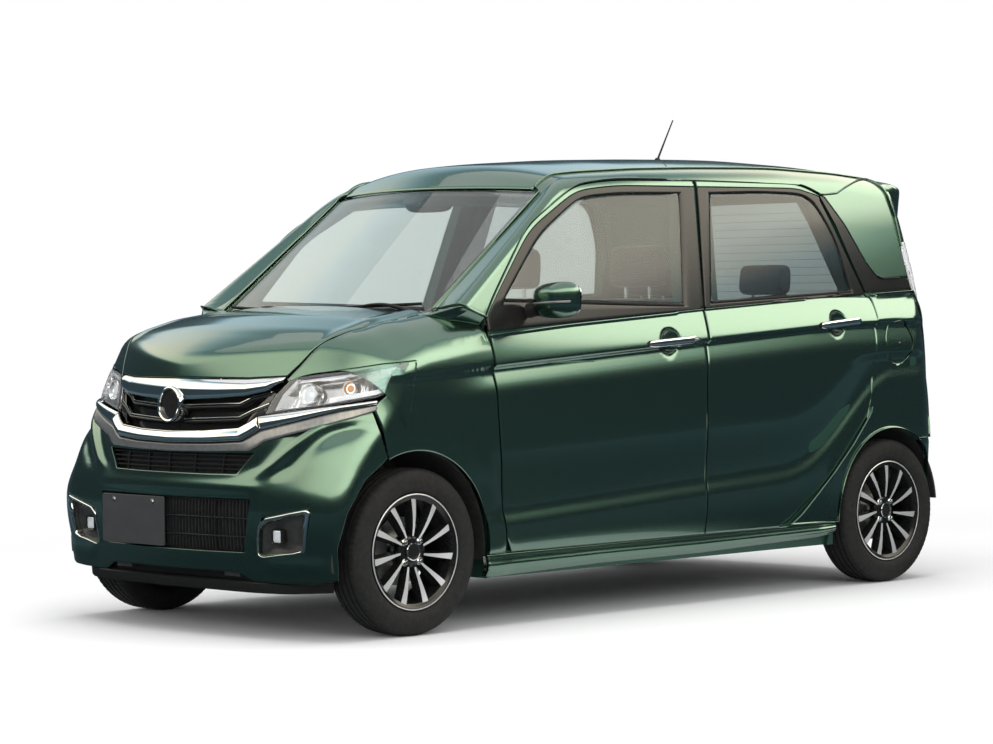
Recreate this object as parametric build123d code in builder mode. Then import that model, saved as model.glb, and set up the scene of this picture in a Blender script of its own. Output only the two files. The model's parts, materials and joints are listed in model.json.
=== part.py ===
"""A five-door kei car: bodywork split at its real panel gaps, cabin, chassis and running gear.

Millimetres. +X is the car's left, the front faces -Y, +Z is up. The origin is on the ground, in the middle
of the overall length and width.
"""
from build123d import *
from math import hypot, sqrt
import os

# ---------------------------------------------------------------- driving dimensions
overall_length = 3395.0
overall_width = 1475.0
roof_height = 1655.0
wheelbase = 2520.0
front_overhang = 487.0
track = 1305.0

nose_y = -overall_length / 2
tail_y = overall_length / 2
half_width = overall_width / 2
front_axle_y = nose_y + front_overhang
rear_axle_y = front_axle_y + wheelbase

underside_z = 165.0  # bottom edge of the sills and bumpers
panel_gap = 7.0  # shut line between two outer panels
skin = 10.0  # fender and quarter skin
shell = 22.0  # roof, bonnet and bumper panels
door_thickness = 60.0
frame_start = 66.0  # pillars begin this far inside the outer surface
frame_end = 100.0  # and end here, at the cabin's own surface
glass_start = 13.0
glass_thickness = 5.0

tyre_radius = 278.5
tyre_width = 155.0
rim_radius = 178.0
front_arch_radius = 338.0
rear_arch_radius = 326.0
arch_inner_x = 405.0  # inner wall of a wheelhouse

tailgate_foot_z = 556.0
glass_gap = 1.0  # between a window and its surround
seat_flange = 35.0  # a door laps the body by this much
front_arch_y = front_axle_y - 6
rear_arch_y = rear_axle_y
arch_z = 280.0
liner_wall = 8.0
roof_split_x = 500.0
cabin_front_y = -860.0

far = 3000.0  # longer than the car in any direction

# ---------------------------------------------------------------- outlines: across, up, corner radius
# front view, left half, from the sill to the roof's middle: x, z, radius
section_half = [
    (680, underside_z - 60, 1),
    (700, underside_z + 20, 60),
    (half_width + 0.5, 325, 60),
    (half_width - 9, 480, 500),
    (half_width + 0.5, 885, 260),
    (707, 1062, 260),
    (592, 1545, 100),
    (505, 1628, 180),
    (0, roof_height + 16, 6000),
]
# plan view, left half, from the middle of the nose to the middle of the tail: x, y, radius
plan_half = [
    (0, nose_y - 20, 2500),
    (640, nose_y + 62, 150),
    (half_width - 2, nose_y + 190, 220),
    (half_width + 3, 0, 20000),
    (half_width - 2, tail_y - 190, 260),
    (640, tail_y - 45, 150),
    (0, tail_y + 35, 4500),
]
# side view of the cabin, from the sill at the front round to the tail: y, z, radius
cabin_side = [
    (-1300, underside_z, 1),
    (tail_y - 12, underside_z, 20),
    (tail_y + 25, 300, 60),
    (tail_y + 25, 640, 200),
    (tail_y - 55, 1050, 300),
    (tail_y - 150, 1560, 40),
    (tail_y - 190, 1632, 60),
    (850, roof_height + 14, 2500),
    (0, 1634, 1800),
    (-500, 1520, 260),
    (-1300, 980, 1),
]
# side view of the nose: y, z, radius
nose_side = [
    (-700, underside_z, 1),
    (nose_y + 40, underside_z, 12),
    (nose_y - 8, 205, 20),
    (nose_y + 8, 470, 200),
    (nose_y + 30, 600, 200),
    (nose_y + 40, 720, 300),
    (nose_y + 66, 862, 60),
    (nose_y + 150, 962, 260),
    (-1330, 1052, 500),
    (-985, 1082, 300),
    (-700, 1094, 1),
]
# the nose in plan at two heights, which its front surface joins with straight lines: x, y, radius
nose_plan_low = [
    (0, nose_y - 26, 2500),
    (400, nose_y + 22, 700),
    (646, nose_y + 60, 150),
    (744, nose_y + 192, 200),
    (748, 500, 1),
]
nose_plan_high = [
    (0, nose_y + 78, 500),
    (400, nose_y + 218, 700),
    (650, nose_y + 378, 250),
    (748, nose_y + 568, 200),
    (752, 500, 1),
]
nose_plan_heights = (450.0, 1100.0)
# bonnet crown, front view at bonnet_ref_y: x, z, radius
bonnet_half = [
    (half_width + 2, 0, 1),
    (half_width - 6, 900, 110),
    (575, 1046, 130),
    (0, 1078, 6000),
]
bonnet_ref_y = -1215.0
bonnet_rise = 0.163  # up per unit of length towards the tail
# windscreen in plan at its foot: x, y, radius
screen_plan_half = [
    (0, -1080, 2000),
    (600, -985, 300),
    (800, -880, 1),
]
screen_foot_z = 1062.0
screen_rake = 1.26  # back per unit of height

# the line where the front and rear doors part, in side view, and the gap along it: y, z, radius
door_split = [
    (229, 262, 4),
    (236, 442, 300),
    (235, 826, 900),
    (262, 1071, 300),
    (339, 1541, 4),
]
door_split_gap = 12.0
# side views of the doors: y, z, radius
front_door_side = [
    (-857, 993, 30),
    (-838, 750, 900),
    (-812, 400, 900),
    (-803, 300, 60),
    (-770, 252, 30),
    *((y - door_split_gap / 2, z, radius) for y, z, radius in door_split),
    (-90, 1534, 900),
    (-310, 1512, 260),
    (-585, 1362, 500),
    (-842, 1078, 25),
]
rear_door_side = [
    (560, 254, 60),
    (700, 266, 90),
    (909, 409, 500),
    (1185, 674, 260),
    (1266, 850, 160),
    (1258, 1090, 20),
    (1215, 1123, 20),
    (1100, 1410, 300),
    (1046, 1506, 40),
    (980, 1541, 60),
    *((y + door_split_gap / 2, z, radius) for y, z, radius in reversed(door_split)),
]
# side views of the door windows: y, z, radius
front_window_side = [
    (-770, 1102, 12),
    (150, 1088, 8),
    (236, 1496, 12),
    (-90, 1490, 900),
    (-296, 1470, 200),
    (-535, 1336, 400),
]
rear_window_side = [
    (352, 1096, 10),
    (1118, 1131, 12),
    (1108, 1300, 300),
    (1010, 1508, 60),
    (424, 1500, 12),
]
# tailgate from behind, left half: x, z, radius
tailgate_half = [
    (570, tailgate_foot_z, 40),
    (584, 900, 400),
    (560, 1300, 400),
    (512, 1760, 1),
]
tailgate_window_half = [
    (0, 1052, 2500),
    (505, 1068, 40),
    (448, 1500, 50),
    (0, 1512, 3000),
]
# windscreen from the front, left half: x, z, radius
screen_half = [
    (0, 1056, 2500),
    (590, 1076, 30),
    (540, 1488, 40),
    (0, 1514, 3500),
]
# bonnet from above, left half: x, y, radius
bonnet_plan_half = [
    (0, -1088, 2000),
    (566, -1010, 20),
    (578, -1240, 300),
    (520, -1480, 200),
    (440, -1800, 1),
]
# headlamp from the left: y, z, radius
lamp_side = [
    (-1200, 912, 6),
    (-1330, 880, 120),
    (-1530, 866, 30),
    (-1800, 866, 1),
    (-1800, 745, 1),
    (-1575, 752, 60),
    (-1372, 786, 40),
]
# front grille and bumper openings, from the front, left half: x, z, radius
upper_grille_half = [
    (0, 862, 3000),
    (427, 857, 6),
    (393, 742, 12),
    (330, 700, 60),
    (0, 690, 2500),
]
small_intake_half = [
    (0, 615, 3000),
    (380, 612, 14),
    (322, 546, 14),
    (0, 544, 3000),
]
lower_intake_half = [
    (0, 461, 3000),
    (400, 458, 18),
    (361, 290, 24),
    (0, 288, 3000),
]
fog_recess = [
    (520, 425, 14),
    (652, 436, 20),
    (664, 330, 20),
    (600, 296, 20),
    (512, 318, 14),
]


def inset(points, distance):
    """Moves a polygon's sides inwards, and keeps its filleted corners parallel. Points are (u, v, radius)."""
    count = len(points)
    area = sum(
        points[i][0] * points[(i + 1) % count][1] - points[(i + 1) % count][0] * points[i][1]
        for i in range(count)
    )
    turn = 1 if area > 0 else -1
    moved = []
    for i, (u, v, radius) in enumerate(points):
        pu, pv, _ = points[i - 1]
        nu, nv, _ = points[(i + 1) % count]
        before = ((u - pu) / hypot(u - pu, v - pv), (v - pv) / hypot(u - pu, v - pv))
        after = ((nu - u) / hypot(nu - u, nv - v), (nv - v) / hypot(nu - u, nv - v))
        cross = (before[0] * after[1] - before[1] * after[0]) * turn
        dot = before[0] * after[0] + before[1] * after[1]
        normal = (-(before[1] + after[1]) * turn, (before[0] + after[0]) * turn)
        scale = distance / (1 + dot)
        new_radius = radius - distance if cross > 0 else radius + distance
        moved.append((u + normal[0] * scale, v + normal[1] * scale, max(new_radius, 1.0)))
    return moved


def fitted(points):
    """Limits each corner radius to what its two sides leave room for."""
    count = len(points)
    lengths = [hypot(points[(i + 1) % count][0] - u, points[(i + 1) % count][1] - v)
               for i, (u, v, _) in enumerate(points)]
    half_tans = []
    for i, (u, v, _) in enumerate(points):
        pu, pv, _ = points[i - 1]
        nu, nv, _ = points[(i + 1) % count]
        dot = ((u - pu) * (nu - u) + (v - pv) * (nv - v)) / (lengths[i - 1] * lengths[i])
        half_tans.append(sqrt(max(1 - dot, 1e-9) / max(1 + dot, 1e-9)))
    limits = []
    for i, (u, v, radius) in enumerate(points):
        share = 1.0
        for neighbour, length in ((i - 1, lengths[i - 1]), ((i + 1) % count, lengths[i])):
            taken = radius * half_tans[i] + points[neighbour][2] * half_tans[neighbour]
            share = min(share, 0.97 * length / taken)
        limits.append((u, v, radius * min(share, 1.0)))
    return limits


def mirrored(half):
    """A closed outline from its left half, whose last point may lie on the middle line."""
    right = [(-u, v, radius) for u, v, radius in reversed(half) if u != 0]
    return half + right


def prism(plane, outline, amount, direction=None, distance=0.0):
    """Extrudes a filleted outline, inset by a distance, from a plane."""
    points = fitted(inset(outline, distance))
    with BuildPart() as block:
        with BuildSketch(plane):
            with BuildLine():
                FilletPolyline(*[(u, v) for u, v, _ in points], radius=[r for _, _, r in points], close=True)
            make_face()
        extrude(amount=amount, dir=direction)
    return block.part


def side_prism(outline, grown=0.0, start=250.0, end=900.0):
    """A side view outline carried across the car's left half."""
    return prism(Plane.YZ.offset(start), outline, end - start, distance=-grown)


def front_prism(half, start, end, grown=0.0):
    """A front view outline, given by its left half, carried from start to end along Y."""
    return prism(Plane.XZ.offset(-end), mirrored(half), end - start, distance=-grown)


def top_prism(half, start, end, grown=0.0):
    """A plan view outline, given by its left half, carried from start up to end."""
    return prism(Plane.XY.offset(start), mirrored(half), end - start, distance=-grown)


def block(x_range, y_range, z_range):
    """A plain box between two places on each axis."""
    with BuildPart() as made:
        with BuildSketch(Plane.XY.offset(z_range[0])):
            with Locations(((x_range[0] + x_range[1]) / 2, (y_range[0] + y_range[1]) / 2)):
                Rectangle(x_range[1] - x_range[0], y_range[1] - y_range[0])
        extrude(amount=z_range[1] - z_range[0])
    return made.part


def rod(start, end, radius, bore=0.0):
    """A round bar, or a tube where a bore is given, between two points."""
    axis = Vector(*end) - Vector(*start)
    with BuildPart() as made:
        with BuildSketch(Plane(origin=start, z_dir=axis)):
            Circle(radius)
            if bore:
                Circle(bore, mode=Mode.SUBTRACT)
        extrude(amount=axis.length)
    return made.part


def sides(distance):
    return prism(Plane.XZ.offset(-far), mirrored(section_half), 2 * far, distance=distance)


def ends(distance):
    return prism(Plane.XY.offset(underside_z - 50), mirrored(plan_half), 1800, distance=distance)


def cabin_profile(distance):
    return prism(Plane.YZ.offset(-900), cabin_side, 1800, distance=distance)


def nose_profile(distance):
    return prism(Plane.YZ.offset(-900), nose_side, 1800, distance=distance)


def screen_block(distance):
    """Everything behind the windscreen's surface, which leans back as it rises."""
    foot = 100.0
    forward = (screen_foot_z - foot) * screen_rake
    plan = [(x, y - forward, radius) for x, y, radius in screen_plan_half]
    outline = mirrored(plan + [(820, 4000, 1)])
    slope = hypot(1, screen_rake)
    return prism(Plane.XY.offset(foot), outline, 1700 * slope, (0, screen_rake, 1), distance * slope)


def brow_block(distance):
    """The nose's front above its plan at nose_plan_heights[0], whose corners sweep back as they rise."""
    with BuildPart() as made:
        for height, half in zip(nose_plan_heights, (nose_plan_low, nose_plan_high)):
            points = fitted(inset(mirrored(half), distance))
            with BuildSketch(Plane.XY.offset(height)):
                with BuildLine():
                    FilletPolyline(*[(x, y) for x, y, _ in points], radius=[r for _, _, r in points], close=True)
                make_face()
        loft(ruled=True)
    return made.part


def bonnet_block(distance):
    """Everything under the bonnet's crown, which falls towards the nose."""
    outline = mirrored(bonnet_half)
    lifted = [(x, z - bonnet_rise * (bonnet_ref_y + 700), radius) for x, z, radius in outline]
    return prism(Plane.XZ.offset(700), lifted, 1200, (0, -1, -bonnet_rise), distance)


def cabin_block(distance):
    """The cabin's outer surface, moved inwards by a distance, as a solid."""
    with BuildPart() as made:
        add(cabin_profile(distance))
        add(ends(distance), mode=Mode.INTERSECT)
        add(sides(distance), mode=Mode.INTERSECT)
        add(screen_block(distance), mode=Mode.INTERSECT)
    return made.part


def nose_block(distance):
    """The nose's outer surface, moved inwards by a distance, as a solid."""
    with BuildPart() as upper:
        add(brow_block(distance))
        add(block((-900, 900), (-1900, -700), (0, nose_plan_heights[0])))
    with BuildPart() as made:
        add(nose_profile(distance))
        add(ends(distance), mode=Mode.INTERSECT)
        add(sides(distance), mode=Mode.INTERSECT)
        add(bonnet_block(distance), mode=Mode.INTERSECT)
        add(upper.part, mode=Mode.INTERSECT)
    return made.part


def write(part, label):
    part.label = label
    export_step(part, f"parts/{label}.step")


def other_side(part):
    """The same piece on the car's right."""
    return mirror(part, about=Plane.YZ)


def layer(outer, inner, *regions):
    """What lies between two body surfaces and inside every region."""
    with BuildPart() as made:
        add(outer)
        for region in regions:
            add(region, mode=Mode.INTERSECT)
        if inner is not None:
            add(inner, mode=Mode.SUBTRACT)
    return made.part


def cut_from(part, *tools):
    with BuildPart() as made:
        add(part)
        for tool in tools:
            add(tool, mode=Mode.SUBTRACT)
    return made.part


def joined(*pieces):
    with BuildPart() as made:
        for piece in pieces:
            add(piece)
    return made.part


def largest(part):
    """The biggest solid of a piece, without the slivers that its cuts leave."""
    with BuildPart() as made:
        add(max(part.solids(), key=lambda piece: piece.volume))
    return made.part


os.makedirs("parts", exist_ok=True)

cabin = {depth: cabin_block(depth) for depth in (0, shell, frame_end)}
nose = {depth: nose_block(depth) for depth in (0, skin, shell, door_thickness)}
wall = {depth: sides(depth) for depth in (0, glass_start, glass_start + glass_thickness, door_thickness, frame_start)}
stem = {depth: cabin_block(depth) for depth in (door_thickness, frame_start)}

# ---------------------------------------------------------------- doors and their glass
front_hinge = (722.0, -806.0)
rear_hinge = (722.0, 276.0)
hinge_clearance = {"front": 60.0, "rear": 62.0}
hinge_heights = (420.0, 800.0)

# a door's handle: y and z of its two ends, how far out its bar lies, and the bowl behind it
handles = {
    "front": {"ends": ((-84, 948), (174, 963)), "x": 738.0, "bowl": (762, 42, 956, 54)},
    "rear": {"ends": ((878, 1003), (1124, 1021)), "x": 725.0, "bowl": (748, 998, 1012, 54)},
}
handle_radius = 9.0
handle_post_radius, handle_post_inset = 7.0, 16.0
skin_edge = 8.0  # the outer skin that laps the hinge pillar
door_outlines = {
    "front": (front_door_side, front_window_side, front_hinge),
    "rear": (rear_door_side, rear_window_side, rear_hinge),
}
swing_floor_z, swing_top_z = 150.0, 1100.0
next_hinge_room = rod((*rear_hinge, swing_floor_z), (*rear_hinge, swing_top_z), hinge_clearance["rear"])
for name, (outline, window, hinge) in door_outlines.items():
    slab = cut_from(side_prism(outline, start=480), wall[door_thickness])
    leading = block((480, 900), (hinge[1] - 140, hinge[1] + 14), (swing_floor_z, swing_top_z))
    handle = handles[name]
    near, far_end = handle["ends"]
    with BuildPart() as door:
        add(slab)
        add(wall[0], mode=Mode.INTERSECT)
        add(side_prism(window, grown=glass_gap), mode=Mode.SUBTRACT)
        with BuildSketch(Plane.XY.offset(swing_floor_z)):
            with Locations((hinge[0] - 50, hinge[1] - 63)):
                Rectangle(138, 154)
        extrude(amount=swing_top_z - swing_floor_z, mode=Mode.SUBTRACT)
        if name == "front":
            add(layer(next_hinge_room, None, sides(skin_edge)), mode=Mode.SUBTRACT)
        add(layer(wall[0], sides(skin_edge), side_prism(outline, start=480), leading))
        with Locations(handle["bowl"][:3]):
            Sphere(handle["bowl"][3], mode=Mode.SUBTRACT)
        add(rod((handle["x"], *near), (handle["x"], *far_end), handle_radius))
        for y, z in ((near[0] + handle_post_inset, near[1]), (far_end[0] - handle_post_inset, far_end[1])):
            add(rod((handle["x"] - 40, y, z), (handle["x"] - 3, y, z), handle_post_radius))
    glass = layer(side_prism(window), wall[glass_start + glass_thickness], wall[glass_start])
    if name == "front":
        with BuildPart() as mirror_housing:
            with BuildSketch(Plane.XY.offset(1043)):
                with BuildLine():
                    FilletPolyline((742, -690), (800, -728), (905, -700), (922, -640), (905, -590), (760, -600),
                        radius=[20, 40, 40, 24, 14, 14], close=True)
                make_face()
            extrude(amount=126)
            fillet(mirror_housing.edges().group_by(Axis.Z)[-1], 28)
            fillet(mirror_housing.edges().group_by(Axis.Z)[0], 20)
            with BuildSketch(Plane.XY.offset(1054)):
                with Locations((740, -650)):
                    Rectangle(90, 60)
            extrude(amount=34)
            add(sides(-0.5), mode=Mode.SUBTRACT)
        write(mirror_housing.part, "mirror_left")
        write(other_side(mirror_housing.part), "mirror_right")
    write(door.part, f"door_{name}_left")
    write(other_side(door.part), f"door_{name}_right")
    write(glass, f"glass_{name}_left")
    write(other_side(glass), f"glass_{name}_right")

# ---------------------------------------------------------------- body side
tail_lamp_side = [(1478, 1330, 20), (1800, 1330, 1), (1800, 790, 1), (1650, 800, 20)]
tail_lamp_zone = side_prism(tail_lamp_side, start=594)
rear_arch = rod((300, rear_arch_y, arch_z), (900, rear_arch_y, arch_z), rear_arch_radius)
rear_liner_space = rod((300, rear_arch_y, arch_z), (712, rear_arch_y, arch_z), rear_arch_radius + liner_wall)
rear_bumper_zone = block((-900, 900), (1400, 1800), (0, tailgate_foot_z - panel_gap))
tailgate_zone = front_prism(tailgate_half, 1380, 1900, grown=panel_gap)
fuel_lid_place = (1367.0, 935.0)
fuel_lid_radius = 85.0
fuel_pocket = rod((690, *fuel_lid_place), (900, *fuel_lid_place), fuel_lid_radius + 5)
sill_zone = cut_from(block((600, 900), (-859, 960), (150, 240)), sides(14))
with BuildPart() as body_side:
    add(cabin[0])
    add(cabin[frame_end], mode=Mode.SUBTRACT)
    add(block((roof_split_x, 900), (cabin_front_y, 1800), (0, 1800)), mode=Mode.INTERSECT)
    for outline, window, hinge in door_outlines.values():
        slab = cut_from(side_prism(outline, grown=panel_gap / 2, start=480), wall[frame_start])
        add(slab, mode=Mode.SUBTRACT)
        add(side_prism(outline, grown=-seat_flange, start=400), mode=Mode.SUBTRACT)
    for hinge, room_top_z, name in ((front_hinge, 1134, "front"), (rear_hinge, 1080, "rear")):
        add(rod((*hinge, 256), (*hinge, room_top_z), hinge_clearance[name]), mode=Mode.SUBTRACT)
    add(rear_arch, mode=Mode.SUBTRACT)
    add(rear_liner_space, mode=Mode.SUBTRACT)
    add(front_prism(screen_half, -1400, -200, grown=glass_gap), mode=Mode.SUBTRACT)
    add(tailgate_zone, mode=Mode.SUBTRACT)
    add(layer(tail_lamp_zone, stem[door_thickness]), mode=Mode.SUBTRACT)
    add(layer(rear_bumper_zone, cabin_block(shell + 4)), mode=Mode.SUBTRACT)
    add(fuel_pocket, mode=Mode.SUBTRACT)
    add(sill_zone, mode=Mode.SUBTRACT)
write(largest(body_side.part), "body_side_left")
write(other_side(largest(body_side.part)), "body_side_right")

# ---------------------------------------------------------------- roof, windscreen, tailgate
roof_rear_y = 1462.0
tailgate_hinge = (roof_rear_y + 12, 1628.0)
plate_bolt_spacing, plate_bolt_radius = 210.0, 3.0
rear_plate_z = 800.0
roof_zone = block((-roof_split_x, roof_split_x), (-700, roof_rear_y), (1300, 1800))
with BuildPart() as roof_panel:
    add(cabin[0])
    add(roof_zone, mode=Mode.INTERSECT)
    add(cabin[shell], mode=Mode.SUBTRACT)
    add(front_prism(screen_half, -1400, -200, grown=glass_gap), mode=Mode.SUBTRACT)
    add(rod((0, 776, 1630), (0, 776, 1664), 22))
    add(rod((0, 776, 1655), (0, 872, 1818), 3))
write(roof_panel.part, "roof_panel")

with BuildPart() as windscreen:
    add(layer(screen_block(4), screen_block(9), front_prism(screen_half, -1400, -200)))
    add(rod((0, -528, 1490), (0, -452, 1468), 9))
    add(block((-115, 115), (-458, -436), (1432, 1496)))
write(windscreen.part, "windscreen")

spoiler_plan_half = [(520, roof_rear_y + 16, 4), (520, 1564, 10), (545, 1596, 30), (455, tail_y, 40)]
spoiler_side = [(roof_rear_y + 16, 1629, 2), (1560, 1608, 300), (tail_y - 2, 1558, 8), (tail_y - 3, 1538, 8), (1590, 1520, 60),
    (1528, 1516, 4), (1512, 1560, 4)]
spoiler = layer(prism(Plane.YZ.offset(-700), spoiler_side, 1400), None, top_prism(spoiler_plan_half, 1400, 1700))
with BuildPart() as tailgate:
    add(cabin[0])
    add(front_prism(tailgate_half, 1380, 1900), mode=Mode.INTERSECT)
    add(block((-900, 900), (roof_rear_y + 8, 1900), (0, 1900)), mode=Mode.INTERSECT)
    add(stem[door_thickness], mode=Mode.SUBTRACT)
    add(block((-900, 900), (1300, 1512), (0, 1800)), mode=Mode.SUBTRACT)
    add(front_prism(tailgate_window_half, 1380, 1900, grown=glass_gap), mode=Mode.SUBTRACT)
    add(spoiler)
    add(rod((-330, *tailgate_hinge), (330, *tailgate_hinge), 3), mode=Mode.SUBTRACT)
    for x in (-plate_bolt_spacing / 2, plate_bolt_spacing / 2):
        add(rod((x, 1500, rear_plate_z), (x, 1800, rear_plate_z), plate_bolt_radius), mode=Mode.SUBTRACT)
write(tailgate.part, "tailgate")
tail_glass = layer(cabin_block(glass_start), cabin_block(glass_start + glass_thickness),
    front_prism(tailgate_window_half, 1500, 1900))
write(tail_glass, "tailgate_glass")

# ---------------------------------------------------------------- floor, firewall and rear panel
floor_top_z = 265.0
floor_thickness = 14.0
rear_floor_z = 400.0
firewall_y = -856.0
with BuildPart() as floor_pan:
    add(block((-500, 500), (-850, 860), (floor_top_z - floor_thickness, floor_top_z)))
    add(block((-500, 500), (firewall_y, firewall_y + 14), (floor_top_z - floor_thickness, 1070)))
    add(block((-590, 590), (firewall_y, firewall_y + 14), (floor_top_z, 1000)))
    add(block((-500, 500), (846, 860), (floor_top_z - floor_thickness, rear_floor_z)))
    add(layer(cabin[frame_end], None, block((-700, 700), (846, 1700), (rear_floor_z - floor_thickness, rear_floor_z))))
    for x in (-370, 370):
        add(block((x - 30, x + 30), (-850, 1000), (190, floor_top_z - 1)))
    add(rear_liner_space, mode=Mode.SUBTRACT)
    add(other_side(rear_liner_space), mode=Mode.SUBTRACT)
write(floor_pan.part, "floor_pan")
with BuildPart() as rear_panel:
    add(layer(cabin_block(shell + 4), cabin[frame_end], block((-roof_split_x, roof_split_x), (1400, 1800),
        (270, 540))))
    add(rear_liner_space, mode=Mode.SUBTRACT)
    add(other_side(rear_liner_space), mode=Mode.SUBTRACT)
write(rear_panel.part, "rear_panel")

# ---------------------------------------------------------------- bonnet, fenders, bumpers
bonnet_zone = top_prism(bonnet_plan_half, 300, 1300)
above_lamps = block((-900, 900), (-1900, -700), (864, 1300))
bonnet_hinge = (-1016.0, 1056.0)
bonnet = layer(nose[0], nose[shell], bonnet_zone, above_lamps)
bonnet = cut_from(bonnet, rod((-520, *bonnet_hinge), (-460, *bonnet_hinge), 3), rod((460, *bonnet_hinge),
    (520, *bonnet_hinge), 3))
write(bonnet, "bonnet")

lamp_zone = side_prism(lamp_side, start=300)
lamp_zone_grown = side_prism(lamp_side, grown=2, start=300)
grille_zone = front_prism(upper_grille_half, -1800, -1300)
grille_zone_grown = front_prism(upper_grille_half, -1800, -1300, grown=1)
lamp = cut_from(layer(nose[0], nose[door_thickness], lamp_zone), front_prism(upper_grille_half, -1800, -1300, grown=3),
    top_prism(bonnet_plan_half, 300, 1300, grown=4))
lamp = largest(lamp)
write(joined(lamp, other_side(lamp)), "headlamps")
# front views of the grille's bars, left half: x, z, radius
grille_bars_half = {
    "top": [(0, 866, 3000), (434, 861, 6), (418, 828, 6), (0, 836, 3000)],
    "upper_slat": [(30, 806, 2), (395, 800, 2), (395, 790, 2), (30, 790, 2)],
    "lower_slat": [(30, 762, 2), (380, 772, 2), (380, 760, 2), (30, 746, 2)],
    "foot": [(0, 728, 3000), (392, 748, 6), (330, 694, 40), (0, 684, 2500)],
}
bar_back = nose_block(44)
bar_space = layer(nose[0], bar_back, grille_zone)
with BuildPart() as grille:
    add(layer(bar_back, nose[door_thickness], grille_zone))
    for name, half in grille_bars_half.items():
        if "slat" in name:
            for sign in (-1, 1):
                outline = [(sign * x, z, radius) for x, z, radius in half]
                add(layer(bar_space, None, prism(Plane.XZ.offset(1300), outline, 500)))
        else:
            add(layer(bar_space, None, front_prism(half, -1800, -1300)))
    add(layer(bar_space, None, block((-44, 44), (-1800, -1300), (724, 812))))
write(grille.part, "upper_grille")

behind_bumper_side = [(-1342, 601, 2), (-1388, 748, 2), (-1388, 1300, 1), (-600, 1300, 1), (-600, 60, 1), (-1342, 60, 1)]
behind_bumper = side_prism(behind_bumper_side, start=-900, end=900)
front_liner_space = rod((250, front_arch_y, arch_z), (700, front_arch_y, arch_z), front_arch_radius + liner_wall)
front_arch = rod((250, front_arch_y, arch_z), (900, front_arch_y, arch_z), front_arch_radius)
fender = layer(nose[0], nose[skin], block((roof_split_x, 900), (-1900, -867), (190, 1300)))
bumper_side = [(-1342, 601, 2), (-1388, 748, 2), (-1420, 900, 1), (-1900, 900, 1), (-1900, 60, 1), (-1342, 60, 1)]
fender = cut_from(fender, side_prism(bumper_side, grown=1, start=-900, end=900), lamp_zone_grown,
    top_prism(bonnet_plan_half, 300, 1300, grown=5), front_arch)
fender = largest(cut_from(fender, block((500, 592), (-1024, -850), (900, 1200)), front_liner_space))
write(fender, "fender_left")
write(other_side(fender), "fender_right")

fog_zone = prism(Plane.XZ.offset(1300), fog_recess, 500)
with BuildPart() as front_bumper:
    add(cut_from(nose[0], behind_bumper, nose[shell]))
    add(block((-900, 900), (-1900, -1300), (742, 1300)), mode=Mode.SUBTRACT)
    for cut in (lamp_zone_grown, front_arch, front_liner_space, fog_zone):
        add(cut, mode=Mode.SUBTRACT)
        add(other_side(cut), mode=Mode.SUBTRACT)
    add(grille_zone_grown, mode=Mode.SUBTRACT)
    for half in (small_intake_half, lower_intake_half):
        add(front_prism(half, -1900, -1300), mode=Mode.SUBTRACT)
write(front_bumper.part, "front_bumper")
# bars across the two middle intakes: z of each bar's foot, its height
small_bars = [(554, 5), (569, 5), (584, 5), (599, 5)]
lower_bars = [(318, 12), (362, 12), (406, 12)]
fog_lamp_place = (588.0, 366.0)
fog_lamp_radius = 44.0
insert_front, insert_back = nose_block(32), nose_block(46)
inserts = []
for half, bars in ((small_intake_half, small_bars), (lower_intake_half, lower_bars)):
    opening = front_prism(half, -1800, -1300)
    bar_space = layer(nose[skin], insert_front, opening)
    with BuildPart() as insert:
        add(layer(insert_front, insert_back, opening))
        for foot_z, height in bars:
            add(layer(bar_space, None, block((-420, 420), (-1800, -1300), (foot_z, foot_z + height))))
    inserts.append(insert.part)
front_plate_place = (-175.0, 438.0)
with BuildPart() as plate_carrier:
    add(inserts[1])
    add(block((front_plate_place[0] - 120, front_plate_place[0] + 120), (-1688, -1636), (424, 452)))
    for x in (-plate_bolt_spacing / 2, plate_bolt_spacing / 2):
        place = (front_plate_place[0] + x, front_plate_place[1])
        add(rod((place[0], -1750, place[1]), (place[0], -1500, place[1]), plate_bolt_radius), mode=Mode.SUBTRACT)
inserts[1] = plate_carrier.part
with BuildPart() as fog:
    add(layer(insert_front, insert_back, fog_zone))
    fog_lamp = rod((fog_lamp_place[0], -1700, fog_lamp_place[1]), (fog_lamp_place[0], -1500, fog_lamp_place[1]),
        fog_lamp_radius)
    add(layer(nose[skin], insert_front, fog_lamp))
    add(block((300, 900), (-1900, -1540), (0, 900)), mode=Mode.INTERSECT)
    clear_of_liner = front_arch_radius + liner_wall + 2
    add(rod((250, front_arch_y, arch_z), (720, front_arch_y, arch_z), clear_of_liner), mode=Mode.SUBTRACT)
lip_plan_half = [(0, nose_y + 24, 2500), (560, nose_y + 94, 120), (636, nose_y + 158, 40), (636, nose_y + 184, 1)]
lip = top_prism(lip_plan_half, underside_z - 13, underside_z)
write(joined(*inserts, fog.part, other_side(fog.part), lip), "lower_grilles")

with BuildPart() as rear_bumper:
    add(layer(cabin[0], cabin[shell], rear_bumper_zone))
    add(block((-640, 640), (1300, 1600), (100, 190)), mode=Mode.SUBTRACT)
    for cut in (rear_arch, rear_liner_space):
        add(cut, mode=Mode.SUBTRACT)
        add(other_side(cut), mode=Mode.SUBTRACT)
write(rear_bumper.part, "rear_bumper")
tail_lamp = layer(cabin[0], stem[door_thickness], tail_lamp_zone)
tail_lamp = cut_from(tail_lamp, tailgate_zone)
write(joined(tail_lamp, other_side(tail_lamp)), "tail_lamps")

with BuildPart() as fuel_lid:
    add(layer(cabin[0], cabin_block(6), rod((600, *fuel_lid_place), (900, *fuel_lid_place), fuel_lid_radius)))
write(fuel_lid.part, "fuel_lid")

with BuildPart() as cowl:
    add(block((-560, 560), (-1060, -870), (930, 944)))
    add(block((-560, 560), (-884, -870), (930, 1010)))
write(cowl.part, "cowl")

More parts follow.
